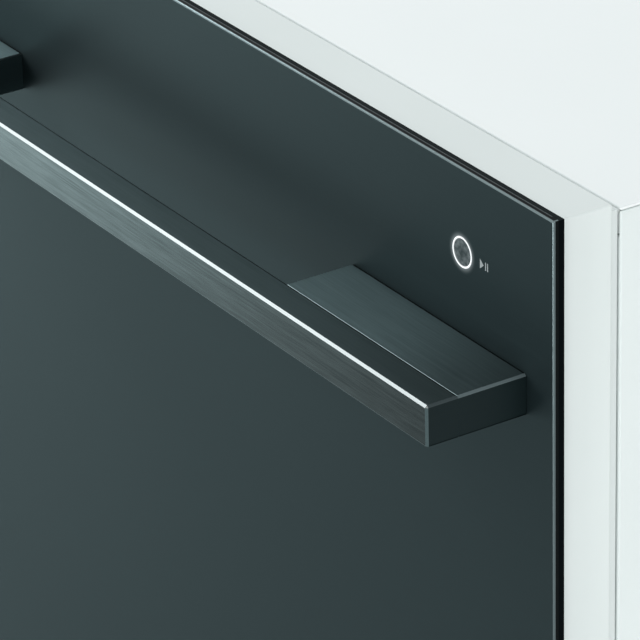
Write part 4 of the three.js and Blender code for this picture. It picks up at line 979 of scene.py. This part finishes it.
softened("top_cover", 0.0007, cover_white_painted_light)
cover_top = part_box("top_cover")[1].z
bead_base, bead_top = cover_top - bead_foot, cover_top + 0.0013
ridges = [((x - bead_half, -0.06, bead_base), (x + bead_half, 0.26, bead_top)) for x in (-0.09, 0.09)]
beads("top_cover_beads", ridges, Vector((0, 0, 1)), cover_white_painted_light)
cover_screws = [(side * 0.214, y, cover_top) for side in (-1, 1) for y in (-0.05, 0.1, 0.25)]
cover_screws += [(x, 0.311, cover_top) for x in (-0.12, 0.0, 0.12)]
hex_heads("top_cover_screws", "cabinet", cover_screws, "Z", sheet_screw, "zinc_steel", body_screw)

# ------------------------------------------------------------------ worktop brackets and toe kick
# Two stepped zinc-plated brackets on the cover take the screws into the worktop. A black sheet closes
# the space under the drawer.
foot_inset, bracket_gauge = 0.009, 0.0015
for word in ("left", "right"):
    node = "worktop_bracket_" + word
    softened(node, 0.0005, zinc_sheet)
    low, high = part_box(node)
    foot_x = low.x + foot_inset if word == "right" else high.x - foot_inset
    spots = [(foot_x, (low.y + high.y) / 2 + step, low.z + bracket_gauge) for step in (-0.008, 0.008)]
    hex_heads(node + "_screws", "cabinet", spots, "Z", 0.0028, "zinc_steel", body_screw)

kick_black = surfaced(
    "kick_black", (0.006, 0.0085, 0.0095), (0.0105, 0.014, 0.0152), 0.5, 800, 0.12, specular=0.25,
)
softened("toe_kick", 0.0005, kick_black)
kick_face, kick_screws_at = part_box("toe_kick")[0].y, 0.084
spots = [(x, kick_face, kick_screws_at) for x in (-0.19, -0.063, 0.063, 0.19)]
hex_heads("toe_kick_screws", "cabinet", spots, "Y", sheet_screw, "black_plastic", kick_black, inwards=True)

# ------------------------------------------------------------------ base frame, feet, wheels and gland
# A welded tray of thick steel, painted dark grey, stands on two screwed feet in front and two rubber
# wheels behind. A thinner zinc-plated cover closes the chain's space.
base_paint = surfaced("base_paint", (0.036, 0.04, 0.042), (0.05, 0.055, 0.057), 0.5, 650, 0.14)
softened("base_frame", 0.0007, base_paint)
softened("base_cover", 0.0003, zinc_sheet, segments=1)


def upright_axis(node):
    """The point on the floor under the middle of a solid that stands upright."""
    low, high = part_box(node)
    return Vector(((low.x + high.x) / 2, (low.y + high.y) / 2, 0))


pad_rubber = surfaced(
    "pad_rubber", (0.014, 0.0145, 0.015), (0.026, 0.0265, 0.027), 0.78, 1300, 0.25, specular=0.3,
)
stud_core, stud_crest, stud_pitch = 0.0043, 0.005, 0.0015
for word in ("left", "right"):
    node = "levelling_foot_" + word
    middle = upright_axis(node)
    stud_steel = turned_metal("stud_steel_" + word, (0.3, 0.31, 0.3), (0.46, 0.47, 0.45), 0.34, "Z", middle)
    stand = bmesh.new()
    pad = [
        (0, 0), (0.0155, 0), (0.0165, 0.0012), (0.0185, 0.0012), (0.02, 0.0028), (0.02, 0.0064),
        (0.0188, 0.0076), (0.0, 0.0076),
    ]
    add_to(stand, turned_shape(pad, "Z", middle, 40, closed=False), 0)
    cup = [(0.0186, 0.0074), (0.0186, 0.0086), (0.012, 0.0108), (0.0085, 0.012), (0.0, 0.012)]
    add_to(stand, turned_shape(cup, "Z", middle, 40, closed=False), 1)
    nut = bmesh.new()
    bmesh.ops.create_cone(nut, cap_ends=True, segments=6, radius1=0.0092, radius2=0.0092, depth=0.007)
    corners = [e for e in nut.edges if e.calc_face_angle() > 1.2]
    bevelled(nut, corners, 0.0006, 2)
    move_by(nut, middle + Vector((0, 0, 0.0156)))
    add_to(stand, nut, 1)
    stud = [(0.0042, 0.012)]
    for turn_number in range(46):
        start = 0.0136 + turn_number * stud_pitch
        stud += [(stud_core, start), (stud_crest, start + 0.0006), (stud_crest, start + 0.0009)]
    stud += [(stud_core, 0.0832), (0.0038, 0.084), (0, 0.084)]
    add_to(stand, turned_shape(stud, "Z", middle, 20, closed=False), 1)
    fitted(node, "_assembled", stand, pad_rubber, stud_steel)

    node = "rear_wheel_" + word
    low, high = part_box(node)
    centre = (low + high) / 2
    outside = (high.z - low.z) / 2
    half = (high.x - low.x) / 2
    wheel = bmesh.new()
    tyre = [
        (0.0165, -half + 0.001), (0.0178, -half), (outside - 0.003, -half),
        (outside - 0.0008, -half + 0.0016), (outside, -half + 0.0036), (outside, -0.0015),
        (outside - 0.0007, -0.001), (outside - 0.0007, 0.001), (outside, 0.0015), (outside, half - 0.0036),
        (outside - 0.0008, half - 0.0016), (outside - 0.003, half), (0.0178, half), (0.0165, half - 0.001),
    ]
    add_to(wheel, turned_shape(tyre, "X", centre, 48), 0)
    hub = [
        (0.0043, -half + 0.0004), (0.0075, -half + 0.0004), (0.0085, -half + 0.003),
        (0.0145, -half + 0.0036), (0.0156, -half + 0.0012), (0.0167, -half + 0.0012),
        (0.0167, half - 0.0012), (0.0156, half - 0.0012), (0.0145, half - 0.0036), (0.0085, half - 0.003),
        (0.0075, half - 0.0004), (0.0043, half - 0.0004),
    ]
    add_to(wheel, turned_shape(hub, "X", centre, 48), 1)
    hub_grey = surfaced("hub_grey_" + word, (0.2, 0.21, 0.215), (0.25, 0.26, 0.265), 0.45, 1500, 0.1)
    fitted(node, "_assembled", wheel, pad_rubber, hub_grey)

low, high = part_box("cord_gland")
middle = Vector(((low.x + high.x) / 2, 0, (low.z + high.z) / 2))
gland_black = surfaced("gland_black", (0.01, 0.0105, 0.011), (0.017, 0.0175, 0.018), 0.5, 1500, 0.15)
gland = bmesh.new()
gland_bore, groove_pitch = 0.0045, 0.0014
section = [(gland_bore, low.y), (0.0086, low.y)]
for groove in range(7):
    start = low.y + 0.0012 + groove * groove_pitch
    section += [(0.0092, start), (0.0104, start + 0.0005)]
section += [
    (0.011, high.y - 0.0032), (0.011, high.y - 0.0025), (0.016, high.y - 0.0025), (0.016, high.y - 0.0014),
    (0.0148, high.y - 0.0006), (0.0094, high.y - 0.0006), (0.0088, high.y), (0.0056, high.y),
    (gland_bore, high.y - 0.0012),
]
add_to(gland, turned_shape(section, "Y", middle, 40))
for notch in range(12):
    grip = bmesh.new()
    block(grip, (-0.0009, high.y - 0.0008, 0.0104), (0.0009, high.y - 0.0002, 0.0142), 0.0002, 1)
    turn_by(grip, notch * math.pi / 6, "Y")
    move_by(grip, middle)
    add_to(gland, grip)
fitted("cord_gland", "_turned", gland, gland_black)

# ------------------------------------------------------------------ ram
# A zinc-plated steel plate under a welded box hangs from a deep channel beam. The box and beam are
# painted dark grey. Bronze nuts, bolted on the beam's ends, carry it on the screws.
ram_zinc = galvanised("ram_zinc", (0.3, 0.315, 0.32), (0.4, 0.415, 0.42), 0.44, 180)
softened("ram_plate", 0.0012, ram_zinc)
ram_paint = surfaced("ram_paint", (0.034, 0.038, 0.04), (0.048, 0.053, 0.055), 0.48, 650, 0.14)
softened("ram_box", 0.0012, ram_paint, segments=3)
softened("ram_beam", 0.0014, ram_paint, segments=3)
box_low, box_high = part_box("ram_box")
ram_bolt = 0.0042
for word, wall in (("front", box_low.y), ("rear", box_high.y)):
    spots = [(x, wall, box_low.z + 0.02) for x in (-0.09, -0.03, 0.03, 0.09)]
    hex_heads(
        "ram_box_%s_bolts" % word, "ram", spots, "Y", ram_bolt, "zinc_steel", screw_zinc,
        inwards=word == "front",
    )


def four_round(middle, radius, height):
    """Four places on a circle round an upright axis."""
    angles = [odd * math.pi / 4 for odd in (1, 3, 5, 7)]
    return [(middle.x + radius * math.cos(a), middle.y + radius * math.sin(a), height) for a in angles]


nut_bore, nut_body, nut_flange, nut_bolt_circle = 0.0098, 0.015, 0.02, 0.0174
for word in ("left", "right"):
    node = "power_nut_" + word
    low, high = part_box(node)
    middle = upright_axis(node)
    nut_bronze = turned_metal(
        "nut_bronze_" + word, (0.36, 0.2, 0.07), (0.55, 0.34, 0.14), 0.34, "Z", middle, 1900,
    )
    step = high.z - 0.005
    section = [
        (nut_bore, low.z + 0.0008), (0.0106, low.z), (0.0142, low.z), (nut_body, low.z + 0.0008),
        (nut_body, step - 0.0012), (0.0145, step - 0.0008), (0.0145, step), (0.0194, step),
        (nut_flange, step + 0.0006), (nut_flange, high.z - 0.0008), (0.0192, high.z), (0.0106, high.z),
        (nut_bore, high.z - 0.0008),
    ]
    fitted(node, "_turned", turned_shape(section, "Z", middle, 48), nut_bronze)
    spots = four_round(middle, nut_bolt_circle, high.z)
    hex_heads(node + "_bolts", "ram", spots, "Z", 0.0017, "zinc_steel", screw_zinc)

# ------------------------------------------------------------------ power screws, bearings and channel
# Two-start rolled threads of bright steel turn in bronze bushes, the lower ones in the base and the
# upper ones in a folded channel that ties the tops of the sides together.
thread_lead = 0.0254
thread_root = 0.0076
crest = 0.0095
journal = 0.007
steps = 20
channel_paint = surfaced("channel_paint", (0.036, 0.04, 0.042), (0.05, 0.055, 0.057), 0.5, 650, 0.14)
softened("top_channel", 0.0008, channel_paint)
for word in ("left", "right"):
    node = "power_screw_" + word
    low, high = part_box(node)
    middle = upright_axis(node)
    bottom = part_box("lower_bearing_" + word)[1].z + 0.0003
    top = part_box("upper_bearing_" + word)[0].z - 0.0003
    screw_steel = turned_metal(
        "screw_steel_" + word, (0.33, 0.34, 0.345), (0.52, 0.53, 0.535), 0.28, "Z", middle, 3200,
    )
    rod = bmesh.new()
    section = [
        (0, low.z), (0.0085, low.z), (0.0085, low.z + 0.006), (journal, low.z + 0.006), (journal, bottom),
        (crest, bottom), (crest, bottom + 0.006), (thread_root, bottom + 0.009), (thread_root, top - 0.009),
        (crest, top - 0.006), (crest, top), (journal, top), (journal, high.z - 0.001), (0.006, high.z),
        (0, high.z),
    ]
    add_to(rod, turned_shape(section, "Z", middle, 32, closed=False))
    end_nut = bmesh.new()
    bmesh.ops.create_cone(end_nut, cap_ends=True, segments=6, radius1=0.011, radius2=0.011, depth=0.0058)
    move_by(end_nut, middle + Vector((0, 0, low.z + 0.003)))
    add_to(rod, end_nut)
    turns = (top - bottom - 0.014) / thread_lead
    total = round(steps * turns)
    for start in (0, math.pi):
        ridge = bmesh.new()
        buried = thread_root - 0.0002
        flank = [(buried, -0.0038), (crest, -0.0022), (crest, 0.0022), (buried, 0.0038)]
        points = [ridge.verts.new((radius, 0, height)) for radius, height in flank]
        lines = [ridge.edges.new(pair) for pair in zip(points, points[1:])]
        bmesh.ops.spin(
            ridge, geom=points + lines, cent=(0, 0, 0), axis=(0, 0, 1), dvec=(0, 0, thread_lead / steps),
            angle=2 * math.pi * total / steps, steps=total,
        )
        if sum(face.normal.xy.dot(face.calc_center_median().xy) for face in ridge.faces) < 0:
            bmesh.ops.reverse_faces(ridge, faces=ridge.faces)
        turn_by(ridge, start, "Z")
        move_by(ridge, middle + Vector((0, 0, bottom + 0.007)))
        for face in ridge.faces:
            face.smooth = True
        add_to(rod, ridge)
    fitted(node, "_threaded", rod, screw_steel)

    bush_bronze = turned_metal(
        "bush_bronze_" + word, (0.34, 0.19, 0.065), (0.52, 0.32, 0.13), 0.38, "Z", middle, 1900,
    )
    for bearing in ("lower_bearing_" + word, "upper_bearing_" + word):
        creased(softened(bearing, 0.0005, bush_bronze))

# ------------------------------------------------------------------ sprockets, chain, gears and motor
# Case-hardened sprockets and gears with an oily film, and a roller chain, under the base. The motor
# has a laminated core between a cast foot and a pressed end bell, and stands on the base.
for word in ("left", "right"):
    sprocket_steel = turned_metal(
        "sprocket_steel_" + word, (0.09, 0.095, 0.1), (0.2, 0.205, 0.21), 0.34, "Z",
        upright_axis("power_screw_" + word),
    )
    softened("screw_sprocket_" + word, 0.0004, sprocket_steel)

chain_steel = surfaced(
    "chain_steel", (0.1, 0.1, 0.1), (0.22, 0.215, 0.205), 0.36, 700, 0.15, 90, metallic=1.0,
)
gear_steel = turned_metal(
    "gear_steel", (0.1, 0.105, 0.11), (0.24, 0.245, 0.25), 0.32, "Z", upright_axis("drive_gear"),
)
motor_low, motor_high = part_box("drive_motor")
motor_middle = upright_axis("drive_motor")
pinion_steel = turned_metal("pinion_steel", (0.12, 0.125, 0.13), (0.27, 0.275, 0.28), 0.3, "Z", motor_middle)
refinished("drive_chain", chain_steel)
refinished("drive_gear", gear_steel)
refinished("motor_pinion", pinion_steel)

cast_grey = surfaced(
    "cast_grey", (0.16, 0.168, 0.172), (0.24, 0.25, 0.255), 0.52, 420, 0.35, 30, metallic=0.5,
)
core_steel = turned_metal("core_steel", (0.1, 0.1, 0.1), (0.3, 0.3, 0.295), 0.42, "Z", motor_middle, 1500)
bell_zinc = turned_metal("bell_zinc", (0.3, 0.315, 0.32), (0.42, 0.435, 0.44), 0.36, "Z", motor_middle, 900)
motor = bmesh.new()
shaft_hole, flange_radius, neck_radius = 0.0066, 0.064, 0.057
core_inside, sheet_radius, sheet_pitch = 0.05, 0.06, 0.004
foot_top = motor_low.z + 0.005
core_low, core_high = motor_low.z + 0.042, motor_low.z + 0.098
shoulder = motor_low.z + 0.138
foot = [
    (shaft_hole, motor_low.z), (0.063, motor_low.z), (flange_radius, motor_low.z + 0.001),
    (flange_radius, foot_top - 0.001), (0.063, foot_top), (0.0585, foot_top + 0.001),
    (neck_radius, foot_top + 0.006), (neck_radius, core_low - 0.003), (0.0585, core_low),
    (shaft_hole, core_low),
]
add_to(motor, turned_shape(foot, "Z", motor_middle, 64), 0)
core = [(core_inside, core_low), (0.0592, core_low)]
for sheet_number in range(14):
    start = core_low + sheet_number * sheet_pitch
    core += [(sheet_radius, start + 0.0003), (sheet_radius, start + 0.0035), (0.0594, start + 0.0038)]
core += [(0.0592, core_high), (core_inside, core_high)]
add_to(motor, turned_shape(core, "Z", motor_middle, 64), 1)
bell = [
    (core_inside, core_high), (0.0588, core_high), (0.0588, shoulder - 0.009), (0.0575, shoulder - 0.005),
    (0.054, shoulder - 0.0015), (0.05, shoulder), (0.031, shoulder), (0.03, shoulder + 0.001),
    (0.03, motor_high.z - 0.001), (0.029, motor_high.z), (shaft_hole, motor_high.z), (shaft_hole, core_high),
]
add_to(motor, turned_shape(bell, "Z", motor_middle, 64), 2)
for number in range(8):
    angle = (number + 0.5) * math.pi / 4
    rib = bmesh.new()
    block(rib, (0.045, -0.0018, foot_top - 0.0005), (0.0598, 0.0018, core_low - 0.001), 0.0009)
    turn_by(rib, angle, "Z")
    move_by(rib, motor_middle)
    add_to(motor, rib, 0)
fitted("drive_motor", "_assembled", motor, cast_grey, core_steel, bell_zinc)
spots = four_round(motor_middle, 0.044, shoulder)
hex_heads("drive_motor_bolts", "cabinet", spots, "Z", 0.003, "zinc_steel", screw_zinc)

# ------------------------------------------------------------------ switches
# Two small black snap switches with brass tabs: one under the channel that the ram presses at its
# top, and one on the base that the closed drawer presses.
switch_black = surfaced("switch_black", (0.008, 0.0085, 0.009), (0.014, 0.0145, 0.015), 0.4, 2000, 0.12)
tab_brass = surfaced("tab_brass", (0.42, 0.28, 0.09), (0.55, 0.39, 0.15), 0.32, 900, 0.05, 200, metallic=1.0)
softened("top_limit_switch", 0.0005, switch_black)
softened("drawer_switch", 0.0005, switch_black)
tabs = bmesh.new()
limit_low, limit_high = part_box("top_limit_switch")
drawer_low, drawer_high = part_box("drawer_switch")
tab_gauge, tab_length = 0.0008, 0.006
for left, back, base, half, steps_along in (
    (limit_low.x, limit_high.y, limit_high.z - 0.009, 0.0016, (0.005, 0.014, 0.023)),
    (drawer_low.x, drawer_high.y, drawer_low.z + 0.01, 0.0012, (0.004, 0.01, 0.016)),
):
    for step in steps_along:
        block(
            tabs,
            (left + step - half, back - 0.0005, base),
            (left + step + half, back + tab_length, base + tab_gauge),
            0.0001, 1,
        )
piece = placed("switch_tabs", tabs, "cabinet", tab_brass)

# ------------------------------------------------------------------ odour fan and charcoal filter
# A small axial fan in a moulded duct draws the cabinet's air through a pad of charcoal grains and out
# through the slots in the rear panel.
fan_black = surfaced("fan_black", (0.011, 0.0115, 0.012), (0.018, 0.0185, 0.019), 0.42, 1700, 0.12)
softened("fan_housing", 0.0007, fan_black)
blade_grey = surfaced("blade_grey", (0.17, 0.18, 0.185), (0.215, 0.225, 0.23), 0.38, 1500, 0.08)
softened("odour_fan", 0.0003, blade_grey)


def granular(name, dark, light, size):
    """Packed grains: cells of differing tone, each standing out from the dark joints between them."""
    material, tree, output = graph(name)
    grains = add_node(tree, "TexVoronoi", object_place(tree), Scale=size)
    single = add_node(tree, "SeparateColor", grains.outputs["Color"]).outputs
    surface = add_node(
        tree, "BsdfPrincipled", Specular_IOR_Level=0.3,
        Base_Color=coloured(tree, single["Green"], dark, light),
        Roughness=ranged(tree, single["Red"], 0.6, 0.9),
    )
    raised(tree, surface, grains.outputs["Distance"], 0.8, 0.0006, invert=True)
    feed(output, surface)
    return material


charcoal_grains = granular("charcoal_grains", (0.006, 0.006, 0.0065), (0.03, 0.03, 0.031), 620)
filter_case = surfaced("filter_case", (0.012, 0.0125, 0.013), (0.02, 0.0205, 0.021), 0.5, 1500, 0.15)
filter_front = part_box("charcoal_filter")[0].y
pad_from, pad_to = filter_front + 0.003, filter_front + 0.006
for face in softened("charcoal_filter", 0.0005, filter_case, charcoal_grains).data.polygons:
    if pad_from < face.center.y < pad_to and abs(face.normal.y) > 0.9:
        face.material_index = 1
